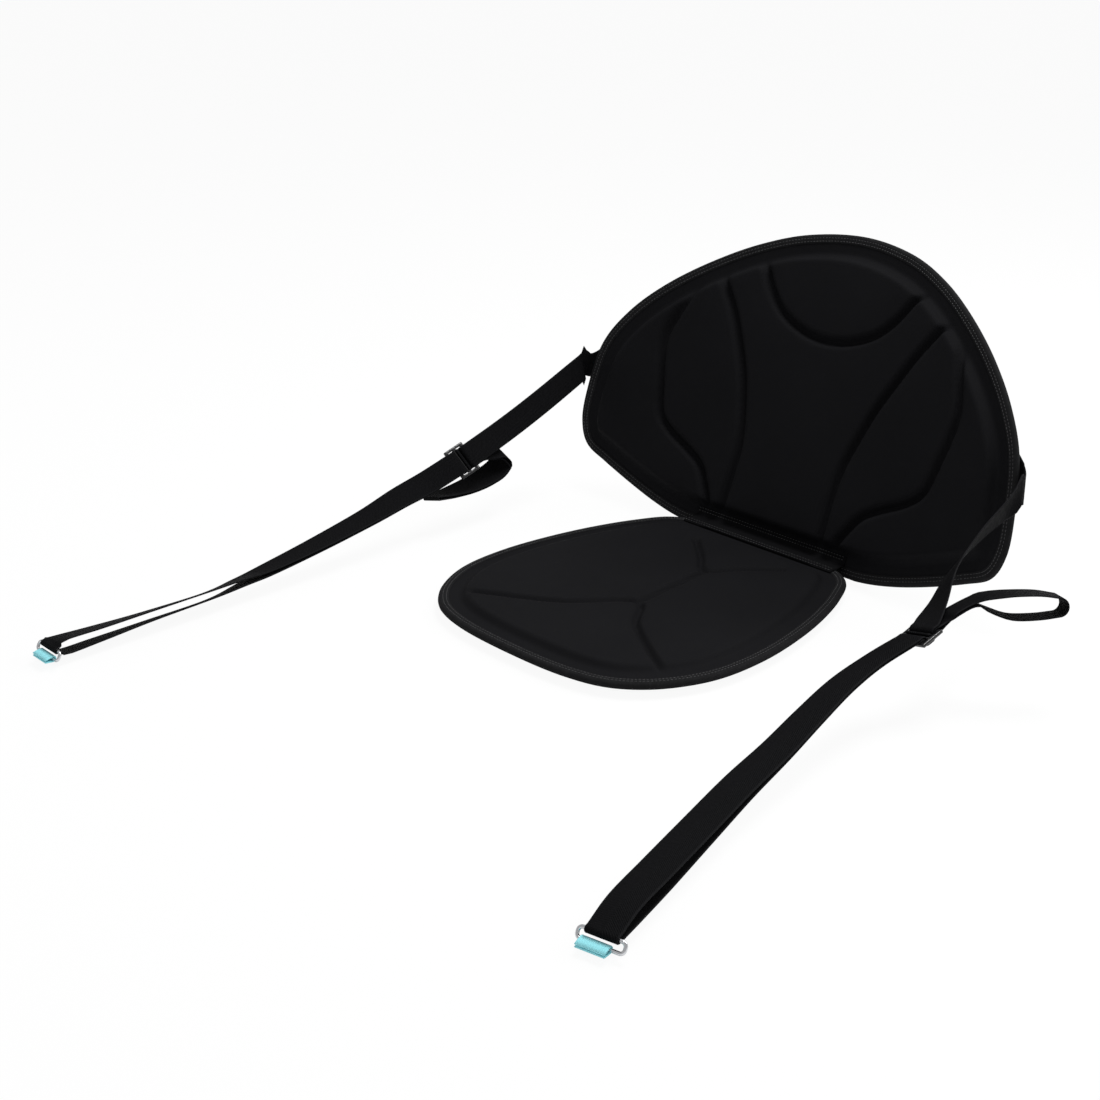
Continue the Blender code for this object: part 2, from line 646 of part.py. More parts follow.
def slider_path(frame):
    """The strap's ways at the slider: arriving, through it, and its sewn end's turn."""
    place, run, across, under = frame
    bar = SLIDER_BAR / 2
    pitch = SLIDER_BAR + SLIDER_SLOT
    layer = WEB_THICKNESS + FIT_GAP
    first = SLIDER_THICKNESS / 2 + FIT_GAP + WEB_THICKNESS / 2
    second = first + layer
    close = bar + FIT_GAP + WEB_THICKNESS / 2
    far = pitch / 2
    entry = [(-pitch - 1.5 * bar, -second), (-pitch, -second), (-pitch + 1.4 * bar, -0.95 * second)]
    through = [(-far - 0.15 * bar, -1.05 * first), (-far, 0.0), (-far, 1.05 * first),
               (-0.8 * far, 1.63 * first), (-0.4 * far, 1.74 * first), (0.4 * far, 1.74 * first),
               (0.8 * far, 1.63 * first), (far, 1.05 * first), (far, 0.2 * first),
               (1.12 * far, -0.8 * first), (1.5 * far, -1.04 * first), (pitch, -1.04 * first)]
    end_turn = [(pitch, -1.04 * first - layer), (1.3 * far, -1.02 * first - layer),
                (0.8 * far, -1.28 * first), (close, -0.4 * first), (close, 0.32 * first),
                (0.55 * close, first), (-0.55 * close, first), (-close, 0.32 * first),
                (-close, -0.32 * first), (-0.55 * close, -first), (0.1 * close, -first)]
    return [[np.array((*(place + s * run + h * under), *across)) for s, h in part]
            for part in (entry, through, end_turn)]


def two_layers(side, frame):
    """The doubled webbing from the slider to the ring: its upper and lower layer."""
    _, run, across, under = frame
    exit_row = slider_path(frame)[2][0]
    layer = WEB_THICKNESS + FIT_GAP
    control = [np.array((*exit_row, layer))]
    control += [np.array((*p[:3], *unit(p[3:6]), p[6])) for p in LOWER_ROUTE[side]]
    bar_place, bar, forward, _ = ring_frame(side)
    reach = RING_WIRE / 2 + FIT_GAP + WEB_THICKNESS / 2
    above = bar_place + np.array((0.0, 0.0, reach)) - BIGHT_LEAD * forward
    control.append(np.array((*above, *bar, 2 * reach)))
    rows = spline(control, WEB_STEP)[1:]
    turn = -1.0 if np.dot(np.cross(across, run), under) > 0 else 1.0
    upper = []
    lower = []
    for i, row in enumerate(rows):
        along, width = row_directions(rows, i)
        raised = turn * unit(np.cross(width, along))
        upper.append(row[:6])
        lower.append(np.array((*(row[:3] - row[6] * raised), *row[3:6])))
    return upper, lower


def ring_turn(side):
    """The strap's half turn round the ring's near bar, from below to above."""
    bar_place, bar, forward, _ = ring_frame(side)
    reach = RING_WIRE / 2 + FIT_GAP + WEB_THICKNESS / 2
    rows = []
    for angle in (-72, -36, 0, 36, 72):
        turn = math.radians(angle)
        out = math.cos(turn) * forward + math.sin(turn) * np.array((0.0, 0.0, 1.0))
        rows.append(np.array((*(bar_place + reach * out), *bar)))
    return rows


def build_patch(side, sign, root, height, parts):
    """The square of webbing sewn over the strap's end on the back of the backrest."""
    pairs = []
    for k in range(4):
        x = root - PATCH_OVERHANG + PATCH_LENGTH * k / 3
        low = back_point(sign * x, STRAP_ROOT_HEIGHT + PATCH_RAISE - PATCH_WIDTH / 2, height)
        high = back_point(sign * x, STRAP_ROOT_HEIGHT + PATCH_RAISE + PATCH_WIDTH / 2, height)
        pairs.append((low, high))
    strip(side + "_strap_patch", pairs, PATCH_THICKNESS, parts, "webbing")


def back_half_width(v):
    """Half width of the backrest at a height above the hinge line."""
    outline = mirrored_outline(BACK_SHAPE, BACK_WIDTH, BACK_HEIGHT, BACK_STEP)
    right = [p for p in outline if p[0] > 0.6 * BACK_WIDTH / 2]
    heights = [p[1] - HINGE_DROP for p in right]
    return float(np.interp(v, heights, [p[0] for p in right]))


def build_slider(side, parts):
    """A flat three-bar slider with two slots and rounded edges."""
    length = 3 * SLIDER_BAR + 2 * SLIDER_SLOT
    bpy.ops.mesh.primitive_cube_add(size=1.0)
    body = bpy.context.object
    body.name = side + "_slider"
    body.data.transform(Matrix.Diagonal((SLIDER_WIDTH, length, SLIDER_THICKNESS, 1.0)))
    for group in list(body.users_collection):
        group.objects.unlink(body)
    parts.objects.link(body)
    for way in (-1, 1):
        bpy.ops.mesh.primitive_cube_add(size=1.0)
        slot = bpy.context.object
        slot.data.transform(Matrix.Diagonal((WEB_WIDTH + SLOT_PLAY, SLIDER_SLOT, 2 * CUT_PAST, 1.0)))
        slot.data.transform(Matrix.Translation((0.0, way * (SLIDER_BAR + SLIDER_SLOT) / 2, 0.0)))
        combine(body, slot, "DIFFERENCE")
    place, run, across, under = slider_frame(side)
    shape = bmesh.new()
    shape.from_mesh(body.data)
    edges = [e for e in shape.edges if e.calc_length() > 1e-5 and abs(e.calc_face_angle(0.0)) > 1.0]
    bmesh.ops.bevel(shape, geom=edges, offset=SLIDER_EDGE, segments=1, profile=0.5, affect="EDGES")
    bmesh.ops.triangulate(shape, faces=shape.faces)
    for vert in shape.verts:
        x, y, z = vert.co
        vert.co = place + x * across + y * run + z * under
    face_outwards(shape)
    shape.to_mesh(body.data)
    shape.free()
    body.data.materials.append(material("slider"))


def build_loop(side, parts):
    """The pull loop: a closed band of webbing round the slider's rear bar."""
    place, run, across, under = slider_frame(side)
    rear_bar = place - (SLIDER_BAR + SLIDER_SLOT) * run
    beside = SLIDER_BAR / 2 + FIT_GAP + WEB_THICKNESS / 2
    above = SLIDER_THICKNESS / 2 + FIT_GAP + WEB_THICKNESS / 2
    wrap = []
    for s, h in ((-0.6, -1.0), (0.5, -1.0), (1.0, -0.4), (1.0, 0.4), (0.5, 1.0), (-0.6, 1.0)):
        wrap.append(np.array((*(rear_bar + s * beside * run + h * above * under), *across)))

    stem = [(0.6 * beside, 2 * above), (LOOP_STEM[0], 1.3 * above),
            (LOOP_STEM[1], WEB_THICKNESS + 2 * FIT_GAP)]
    control = [np.array((*(rear_bar - s * run), *across, gap)) for s, gap in stem]
    control += [np.array((*p[:3], *unit(p[3:6]), p[6])) for p in LOOP_ROUTE[side]]
    rows = spline(control, WEB_STEP)
    turn = -1.0 if np.dot(np.cross(across, -run), under) > 0 else 1.0
    near = []
    far = []
    for i, row in enumerate(rows):
        along, width = row_directions(rows, i)
        raised = turn * unit(np.cross(width, along))
        near.append(np.array((*(row[:3] + row[6] / 2 * raised), *row[3:6])))
        far.append(np.array((*(row[:3] - row[6] / 2 * raised), *row[3:6])))
    tip = []
    for angle in (-54, -18, 18, 54):
        bend = math.radians(angle)
        out = rows[-1][6] / 2 * (math.cos(bend) * along + math.sin(bend) * raised)
        tip.append(np.array((*(rows[-1][:3] + out), *rows[-1][3:6])))
    pairs = ribbon_stations(far[1:] + tip + near[:0:-1] + wrap, WEB_WIDTH, closed=True)
    strip(side + "_pull_loop", pairs, WEB_THICKNESS, parts, "webbing", closed=True)


def build_ring(side, parts, cutters):
    """The wire ring in the strap's bight, its near bar lying along the webbing."""
    place, bar, _, towards = ring_frame(side)
    long_half = (RING_WIDTH - RING_WIRE) / 2
    depth = RING_DEPTH - RING_WIRE
    curve = bpy.data.curves.new("ring", "CURVE")
    curve.dimensions = "3D"
    curve.bevel_depth = RING_WIRE / 2
    curve.bevel_resolution = 2
    track = []
    for cx, cy, start in ((1, 0, -90), (1, 1, 0), (-1, 1, 90), (-1, 0, 180)):
        middle = (cx * (long_half - RING_CORNER), RING_CORNER if cy == 0 else depth - RING_CORNER)
        for k in range(4):
            turn = math.radians(start + 30 * k)
            x = middle[0] + RING_CORNER * math.cos(turn)
            y = middle[1] + RING_CORNER * math.sin(turn)
            track.append(place + x * bar + y * towards)
    line = curve.splines.new("POLY")
    line.points.add(len(track) - 1)
    for point, where in zip(line.points, track):
        point.co = (*where, 1.0)
    line.use_cyclic_u = True
    name = side + "_ring"
    ring = curve_to_mesh(add_object(name + "_curve", curve, cutters), name, parts)
    ring.data.materials.append(material("ring"))


def build_tab(side, parts):
    """The coloured anchor tab folded over the ring's outer bar, its two ends forward."""
    place, bar, forward, towards = ring_frame(side)
    outer = place + (RING_DEPTH - RING_WIRE) * towards + TAB_SHIFT[side] * bar
    up = np.array((0.0, 0.0, 1.0))
    reach = RING_WIRE / 2 + FIT_GAP + TAB_THICKNESS / 2
    pairs = []
    section = [(TAB_REACH, TAB_ENDS[0]), (TAB_REACH * 0.5, 0.72 * reach)]
    for k in range(7):
        turn = math.radians(90 + 30 * k)
        section.append((reach * math.cos(turn), reach * math.sin(turn)))
    section += [(TAB_REACH * 0.5, -0.85 * reach), (TAB_REACH, TAB_ENDS[1])]
    for f, h in section:
        middle = outer + f * forward + h * up
        pairs.append((middle - bar * TAB_WIDTH / 2, middle + bar * TAB_WIDTH / 2))
    strip(side + "_anchor_tab", pairs, TAB_THICKNESS, parts, "tab")


def build_hinge(pad_top, parts):
    """The fabric hinge: a tape sewn on the pad's rear edge and the backrest's foot."""
    half = HINGE_TAPE_THICKNESS / 2
    low = pad_top + FIT_GAP + half
    ahead = BACK_FLANGE / 2 + FIT_GAP + half
    rear = PAD_LENGTH / 2 + TAPE_EDGE
    count = max(2, round(HINGE_TAPE_WIDTH / STATION_X))
    mesh = bpy.data.meshes.new("hinge_tape")
    shape = bmesh.new()
    rows = []
    for k in range(count + 1):
        x = (k / count - 0.5) * HINGE_TAPE_WIDTH
        section = [np.array((x, rear - HINGE_ON_PAD, low)), np.array((x, rear + HINGE_PAST_PAD, low))]
        section += [back_point(x, v, ahead + off) for v, off in HINGE_FOLD]
        rows.append([shape.verts.new(p) for p in section])
    for one, two in zip(rows, rows[1:]):
        edges = [shape.edges.get(pair) or shape.edges.new(pair) for pair in zip(one, one[1:])]
        edges += [shape.edges.get(pair) or shape.edges.new(pair) for pair in zip(two, two[1:])]
        bmesh.ops.bridge_loops(shape, edges=edges)
    bmesh.ops.recalc_face_normals(shape, faces=shape.faces)
    shape.to_mesh(mesh)
    shape.free()
    made = add_object("hinge_tape", mesh, parts, "tape")
    solid = made.modifiers.new("thickness", "SOLIDIFY")
    solid.thickness = HINGE_TAPE_THICKNESS
    solid.offset = 0.0


def main():
    for old in list(bpy.data.objects):
        bpy.data.objects.remove(old)
    parts = new_collection(COLLECTION)
    cutters = new_collection("cutters")
    pad_top = build_pad(parts, cutters)
    rear = build_back(parts, cutters)
    build_hinge(pad_top, parts)
    for side in ("right", "left"):
        build_strap(side, rear, parts)
        build_slider(side, parts)
        build_loop(side, parts)
        build_ring(side, parts, cutters)
        build_tab(side, parts)


main()
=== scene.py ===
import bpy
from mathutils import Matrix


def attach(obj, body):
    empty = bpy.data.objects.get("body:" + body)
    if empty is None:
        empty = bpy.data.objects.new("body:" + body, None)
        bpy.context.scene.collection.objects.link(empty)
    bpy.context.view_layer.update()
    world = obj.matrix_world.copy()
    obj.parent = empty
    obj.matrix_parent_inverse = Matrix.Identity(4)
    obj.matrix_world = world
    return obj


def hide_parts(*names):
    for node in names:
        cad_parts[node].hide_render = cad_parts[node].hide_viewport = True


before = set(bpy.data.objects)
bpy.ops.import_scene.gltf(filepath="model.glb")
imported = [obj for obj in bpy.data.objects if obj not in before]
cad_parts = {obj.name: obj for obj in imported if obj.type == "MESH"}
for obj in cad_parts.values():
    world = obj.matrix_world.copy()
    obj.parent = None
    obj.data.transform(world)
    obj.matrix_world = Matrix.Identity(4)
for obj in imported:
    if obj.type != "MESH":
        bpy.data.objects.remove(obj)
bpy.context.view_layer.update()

# Looks of the kayak seat: moulded pad and backrest, bound edges, webbing and rings.
import math

import bmesh
import bpy
import numpy as np
from mathutils import Matrix, Vector

# The camera stands off the seat's front right corner, a little above it, and sees
# the seat in a square frame.
eye = Vector((0.9646, -1.0331, 0.6402))
azimuth = math.radians(46.494)
elevation = math.radians(22.565)
ahead = Vector((-math.cos(elevation) * math.sin(azimuth), math.cos(elevation) * math.cos(azimuth),
                -math.sin(elevation)))
rightward = Vector((math.cos(azimuth), math.sin(azimuth), 0.0))
upward = rightward.cross(ahead)
lens = bpy.data.cameras.new("photo_view")
lens.sensor_width = 36.0
lens.lens = 55.01
camera = bpy.data.objects.new("photo_view", lens)
camera.matrix_world = Matrix.Translation(eye) @ Matrix((rightward, upward, -ahead)).transposed().to_4x4()
bpy.context.scene.collection.objects.link(camera)
bpy.context.scene.camera = camera
bpy.context.scene.view_settings.view_transform = "Standard"


# The room is a white studio: an even white surround, one large soft box overhead
# and a weaker one behind the backrest that lights its shoulders.
def soft_box(name, place, aim, width, power):
    lamp = bpy.data.lights.new(name, "AREA")
    lamp.shape = "SQUARE"
    lamp.size = width
    lamp.energy = power
    holder = bpy.data.objects.new(name, lamp)
    holder.matrix_world = (Matrix.Translation(place)
                           @ (Vector(aim) - Vector(place)).to_track_quat("-Z", "Y").to_matrix().to_4x4())
    bpy.context.scene.collection.objects.link(holder)


soft_box("overhead_box", (0.15, 0.45, 1.9), (0.0, 0.0, 0.1), 0.8, 31.0)
soft_box("rear_box", (0.7, 1.3, 1.2), (0.1, 0.15, 0.2), 0.8, 16.0)


class Finish:
    """A material whose nodes are added by node(), around one Principled shader."""

    def __init__(self, name, **sockets):
        self.material = bpy.data.materials.new(name)
        self.material.use_nodes = True
        self.tree = self.material.node_tree
        self.shader = self.tree.nodes["Principled BSDF"]
        self.out = self.tree.nodes["Material Output"]
        for socket, value in sockets.items():
            self.feed(self.shader.inputs[socket.replace("_", " ")], value)

    def feed(self, socket, value):
        if isinstance(value, Reading):
            self.tree.links.new(value.socket, socket)
        else:
            socket.default_value = value

    def node(self, kind, settings=None, inputs=None, output=0):
        """Add a node with its settings first, then its sockets' values or links."""
        made = self.tree.nodes.new(kind)
        for key, value in (settings or {}).items():
            setattr(made, key, value)
        for key, value in (inputs or {}).items():
            self.feed(made.inputs[key], value)
        return Reading(self, made.outputs[output])


class Reading:
    """A node's output that adds Math nodes when it is used in sums."""

    def __init__(self, finish, socket):
        self.finish = finish
        self.socket = socket

    def math(self, operation, other=0.0, flip=False):
        first, second = (other, self) if flip else (self, other)
        return self.finish.node("ShaderNodeMath", {"operation": operation}, {0: first, 1: second})

    def __add__(self, other):
        return self.math("ADD", other)

    def __sub__(self, other):
        return self.math("SUBTRACT", other)

    def __rsub__(self, other):
        return self.math("SUBTRACT", other, flip=True)

    def __mul__(self, other):
        return self.math("MULTIPLY", other)

    __radd__ = __add__
    __rmul__ = __mul__

    def sine(self):
        return self.math("SINE")

    def size(self):
        return self.math("ABSOLUTE")


# The floor is a plain pale sheet. The camera sees it near white with a faint shadow.
floor_mesh = bpy.data.meshes.new("floor")
floor_shape = bmesh.new()
bmesh.ops.create_grid(floor_shape, x_segments=1, y_segments=1, size=12.0,
                      matrix=Matrix.Translation((0.0, 0.0, -0.0004)))
floor_shape.to_mesh(floor_mesh)
floor_shape.free()
floor = bpy.data.objects.new("floor", floor_mesh)
bpy.context.scene.collection.objects.link(floor)
paper = Finish("studio_paper", Base_Color=(0.80, 0.80, 0.80, 1.0), Roughness=0.9)
glow = paper.node("ShaderNodeEmission", None, {"Color": (1.0, 1.0, 1.0, 1.0), "Strength": 1.0})
seen = paper.node("ShaderNodeLightPath")
seen_share = seen * 0.93
lit = Reading(paper, paper.shader.outputs[0])
paper.feed(paper.out.inputs["Surface"],
           paper.node("ShaderNodeMixShader", None, {0: seen_share, 1: lit, 2: glow}))
floor_mesh.materials.append(paper.material)

world = bpy.data.worlds.new("white_studio")
bpy.context.scene.world = world
world.use_nodes = True
sky = world.node_tree
sky_path = sky.nodes.new("ShaderNodeLightPath")
sky_light = sky.nodes["Background"]
sky_light.inputs["Strength"].default_value = 0.52
sky_seen = sky.nodes.new("ShaderNodeBackground")
sky_seen.inputs["Strength"].default_value = 1.0
sky_mix = sky.nodes.new("ShaderNodeMixShader")
for background in (sky_light, sky_seen):
    background.inputs["Color"].default_value = (1.0, 1.0, 1.0, 1.0)
sky.links.new(sky_path.outputs["Is Camera Ray"], sky_mix.inputs[0])
sky.links.new(sky_light.outputs[0], sky_mix.inputs[1])
sky.links.new(sky_seen.outputs[0], sky_mix.inputs[2])
sky.links.new(sky_mix.outputs[0], sky.nodes["World Output"].inputs["Surface"])


# The seat pad: foam with fabric laminated on it, pressed in a mould. A flat rim runs
# round a raised middle, which is divided by one spine and two pairs of channels.
PAD_WIDTH = 0.325
PAD_LENGTH = 0.3375
PAD_FOAM_LOW = 0.0099
PAD_RIM_TOP = 0.0121
PAD_RISE = 0.0055
RIM_WIDTH = 0.0185
SHOULDER_WIDTH = 0.0085
CLOTH_LOFT = 0.0005
PAD_SHAPE = [(0.0, 0.0), (0.272, 0.0), (0.545, 0.0), (0.690, 0.042), (0.798, 0.135), (0.892, 0.260),
             (0.962, 0.405), (1.0, 0.565), (0.982, 0.712), (0.917, 0.806), (0.806, 0.890),
             (0.644, 0.954), (0.412, 0.988), (0.0, 1.0)]
PAD_CHANNELS = [[(0.086, 0.296), (0.119, 0.574)],
                [(0.385, 0.130), (0.200, 0.222), (0.085, 0.292), (-0.090, 0.215), (-0.262, 0.142)],
                [(0.845, 0.845), (0.560, 0.765), (0.300, 0.678), (0.120, 0.580), (-0.185, 0.725),
                 (-0.625, 0.853)]]


def unit(vector):
    made = np.array(vector, float)
    return made / np.linalg.norm(made)


def path(points, step, closed=False):
    """Points along a centripetal Catmull-Rom curve through the given points."""
    given = [np.array(p, float) for p in points]
    count = len(given)
    if closed:
        ring = [given[-1]] + given + given[:2]
    else:
        ring = [2 * given[0] - given[1]] + given + [2 * given[-1] - given[-2]]
    out = []
    for i in range(count if closed else count - 1):
        a, b, c, d = ring[i:i + 4]
        ta = 0.0
        tb = ta + max(np.linalg.norm(b - a), 1e-9) ** 0.5
        tc = tb + max(np.linalg.norm(c - b), 1e-9) ** 0.5
        td = tc + max(np.linalg.norm(d - c), 1e-9) ** 0.5
        pieces = max(1, round(float(np.linalg.norm(c[:3] - b[:3])) / step))
        for k in range(pieces):
            t = tb + (tc - tb) * k / pieces
            ab = ((tb - t) * a + (t - ta) * b) / (tb - ta)
            bc = ((tc - t) * b + (t - tb) * c) / (tc - tb)
            cd = ((td - t) * c + (t - tc) * d) / (td - tc)
            abc = ((tc - t) * ab + (t - ta) * bc) / (tc - ta)
            bcd = ((td - t) * bc + (t - tb) * cd) / (td - tb)
            out.append(((tc - t) * abc + (t - tb) * bcd) / (tc - tb))
    if not closed:
        out.append(given[-1])
    return out


def edge_line(shape, width, length, step):
    """The panel's closed edge, from the right half's shares, hinge side at height 0."""
    half = [(x * width / 2, y * length) for x, y in shape]
    other = [(-x, y) for x, y in reversed(half) if x > 0]
    return np.array([(x, max(y, 0.0)) for x, y in path(half + other, step, closed=True)])


def distance_to_line(points, line, closed=False):
    """How far each flat point lies from a line of points."""
    ends = np.roll(line, -1, axis=0) if closed else line[1:]
    starts = line if closed else line[:-1]
    best = np.full(len(points), 9.0)
    for start, end in zip(starts, ends):
        span = end - start
        share = np.clip(((points - start) @ span) / max(span @ span, 1e-12), 0.0, 1.0)
        gap = points - start - share[:, None] * span
        best = np.minimum(best, np.hypot(gap[:, 0], gap[:, 1]))
    return best


def smooth(low, high, value):
    share = np.clip((value - low) / (high - low), 0.0, 1.0)
    return share * share * (3.0 - 2.0 * share)


def trimmed_slab(edge, cell):
    """A closed slab of small squares, trimmed to the edge line; its top is at z = 1."""
    low = edge.min(axis=0)
    size = edge.max(axis=0) - low
    slab = bmesh.new()
    bmesh.ops.create_grid(slab, x_segments=math.ceil(size[0] / cell), y_segments=math.ceil(size[1] / cell),
                          size=0.5)
    bmesh.ops.scale(slab, vec=(size[0], size[1], 1.0), verts=slab.verts)
    middle = low + size / 2
    bmesh.ops.translate(slab, vec=(*middle, 0.0), verts=slab.verts)
    for start, end in zip(edge, np.roll(edge, -1, axis=0)):
        along = end - start
        bmesh.ops.bisect_plane(slab, geom=slab.verts[:] + slab.edges[:] + slab.faces[:], dist=1e-7,
                               plane_co=(*start, 0.0), plane_no=(along[1], -along[0], 0.0), clear_outer=True)
    bmesh.ops.remove_doubles(slab, verts=slab.verts, dist=2e-5)
    grown = bmesh.ops.extrude_face_region(slab, geom=slab.faces[:])["geom"]
    raised = [g for g in grown if isinstance(g, bmesh.types.BMVert)]
    bmesh.ops.translate(slab, vec=(0.0, 0.0, 1.0), verts=raised)
    return slab


def finished_piece(name, shape, finish, body="seat", stands_for=()):
    """The mesh as an object of the frame: outward faces, smooth, riding its body."""
    bmesh.ops.recalc_face_normals(shape, faces=shape.faces)
    for face in shape.faces:
        face.smooth = True
    mesh = bpy.data.meshes.new(name)
    shape.to_mesh(mesh)
    shape.free()
    piece = bpy.data.objects.new(name, mesh)
    bpy.context.scene.collection.objects.link(piece)
    mesh.materials.append(finish.material)
    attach(piece, body)
    if stands_for:
        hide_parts(*stands_for)
    return piece


def shaped_panel(name, edge, cell, heights, wrap, finish, stands_for):
    """A moulded panel: a trimmed slab whose two skins get their heights, then bent."""
    slab = trimmed_slab(edge, cell)
    flat_layer = slab.verts.layers.float_vector.new("flat")
    verts = list(slab.verts)
    flat = np.array([v.co[:] for v in verts])
    bottom, top = heights(flat[:, :2])
    raised = np.where(flat[:, 2] > 0.5, top, bottom)
    places = wrap(flat[:, 0], flat[:, 1], raised)
    for vert, (x, y, _), place in zip(verts, flat, places):
        vert[flat_layer] = (x, y, 0.0)
        vert.co = place
    return finished_piece(name, slab, finish, stands_for=stands_for)


def pad_wrap(x, y, height):
    return np.stack([x, PAD_LENGTH / 2 - y, height], axis=1)


def channel_lines(channels, width, length):
    return [np.array(path([(x * width / 2, y * length) for x, y in line], 0.005)) for line in channels]


def moulded_rise(points, edge, lines, rise, channel_depth, channel_half):
    """Height of the moulded middle over the rim: shoulder, soft crown, channels."""
    inside = distance_to_line(points, edge, closed=True)
    shoulder = smooth(RIM_WIDTH, RIM_WIDTH + SHOULDER_WIDTH, inside)
    nearest = np.full(len(points), 9.0)
    for line in lines:
        nearest = np.minimum(nearest, distance_to_line(points, line))
    swell = 1.0 - np.exp(-np.minimum(nearest, np.maximum(inside - RIM_WIDTH, 0.0)) / 0.014)
    groove = 1.0 - smooth(0.0008, channel_half, nearest)
    middle = rise * (0.86 + 0.14 * swell) - channel_depth * groove
    return shoulder * np.maximum(middle, 0.0)


def cloth_finish(name, colour, thread, sheen, rough):
    """Black laminated fabric: a fine plain weave with faint rubbed patches."""
    cloth = Finish(name, Roughness=rough, Sheen_Weight=sheen, Sheen_Roughness=0.55)
    cloth.shader.inputs["Specular IOR Level"].default_value = 0.03
    flat = cloth.node("ShaderNodeAttribute", {"attribute_name": "flat"}, output=1)
    u = cloth.node("ShaderNodeSeparateXYZ", None, {0: flat}, output=0)
    v = cloth.node("ShaderNodeSeparateXYZ", None, {0: flat}, output=1)
    weave = (u * (2 * math.pi / thread)).sine() * (v * (2 * math.pi / thread)).sine()
    rubbed = cloth.node("ShaderNodeTexNoise", None, {"Vector": flat, "Scale": 11.0, "Detail": 3.0})
    fuzz = cloth.node("ShaderNodeTexNoise", None, {"Vector": flat, "Scale": 900.0, "Detail": 2.0})
    tone = rubbed * 0.45 + fuzz * 0.35 + weave * 0.10 + 0.55
    cloth.feed(cloth.shader.inputs["Base Color"], cloth.node(
        "ShaderNodeVectorMath", {"operation": "SCALE"}, {0: colour, "Scale": tone}))
    cloth.feed(cloth.shader.inputs["Roughness"], rubbed * 0.12 + (rough - 0.06))
    cloth.feed(cloth.shader.inputs["Normal"], cloth.node("ShaderNodeBump", None, {
        "Strength": 0.5, "Distance": 0.00025, "Height": weave * 0.5 + fuzz * 0.6}))
    return cloth


pad_edge = edge_line(PAD_SHAPE, PAD_WIDTH, PAD_LENGTH, 0.009)
pad_lines = channel_lines(PAD_CHANNELS, PAD_WIDTH, PAD_LENGTH)


def pad_heights(points):
    rise = moulded_rise(points, pad_edge, pad_lines, PAD_RISE, 0.0046, 0.0046)
    return np.full(len(points), PAD_FOAM_LOW), PAD_RIM_TOP + CLOTH_LOFT + rise


moulded_cloth = cloth_finish("moulded_cloth", (0.0068, 0.0068, 0.0077), 0.0011, 0.0, 0.72)
seat_pad = shaped_panel("moulded_seat_pad", pad_edge, 0.0024, pad_heights, pad_wrap, moulded_cloth,
                        ["seat_foam"])

# Under the pad a plainer fabric closes it. It bulges down to the floor a little way
# in from the rim and lies flat there.
PAD_BASE_TOP = 0.0093


def base_heights(points):
    inside = distance_to_line(points, pad_edge, closed=True)
    low = 0.0080 * (1.0 - smooth(0.0120, 0.0340, inside))
    return low, np.full(len(points), PAD_BASE_TOP)


under_cloth = cloth_finish("under_cloth", (0.0060, 0.0060, 0.0065), 0.0016, 0.0, 0.85)
shaped_panel("seat_pad_base", pad_edge, 0.0055, base_heights, pad_wrap, under_cloth,
             ["seat_base"])


# The pad's edge is bound: a ribbed tape is folded over it and sewn down with two
# rows of stitches that go right through.
TAPE_WALL = 0.0009
TAPE_LIP = 0.0085
TAPE_EDGE = 0.0016
STITCH_ROWS = (0.0030, 0.0062)
STITCH_LENGTH = 0.0026
STITCH_PITCH = 0.0034
STITCH_SINK = 0.00022
LIP_SINK = 0.0007


def swept(rings, flats, closed):
    """A skin swept through rings of points, capped at both ends unless it is closed."""
    skin = bmesh.new()
    flat_layer = skin.verts.layers.float_vector.new("flat")
    loop = bmesh.ops.create_circle(skin, segments=len(rings[0]), radius=1.0)["verts"]
    edges = skin.edges[:]
    first = edges
    for vert, place, flat in zip(loop, rings[0], flats[0]):
        vert.co = place
        vert[flat_layer] = flat
    for ring, ring_flat in zip(rings[1:], flats[1:]):
        grown = bmesh.ops.extrude_edge_only(skin, edges=edges)["geom"]
        fresh = {g for g in grown if isinstance(g, bmesh.types.BMVert)}
        edges = [g for g in grown if isinstance(g, bmesh.types.BMEdge) and set(g.verts) <= fresh]
        loop = [next(e.other_vert(v) for e in v.link_edges if e.other_vert(v) in fresh) for v in loop]
        for vert, place, flat in zip(loop, ring, ring_flat):
            vert.co = place
            vert[flat_layer] = flat
    if closed:
        bmesh.ops.bridge_loops(skin, edges=first + edges)
    else:
        bmesh.ops.edgeloop_fill(skin, edges=first)
        bmesh.ops.edgeloop_fill(skin, edges=edges)
    return skin


def edge_frames(edge):
    """Place, outward direction and run length of every point of a closed edge line."""
    ahead_points = np.roll(edge, -1, axis=0)
    along = ahead_points - np.roll(edge, 1, axis=0)
    along /= np.linalg.norm(along, axis=1)[:, None]
    outward = np.stack([along[:, 1], -along[:, 0]], axis=1)
    run = np.concatenate([[0.0], np.cumsum(np.linalg.norm(ahead_points - edge, axis=1))[:-1]])
    return along, outward, run


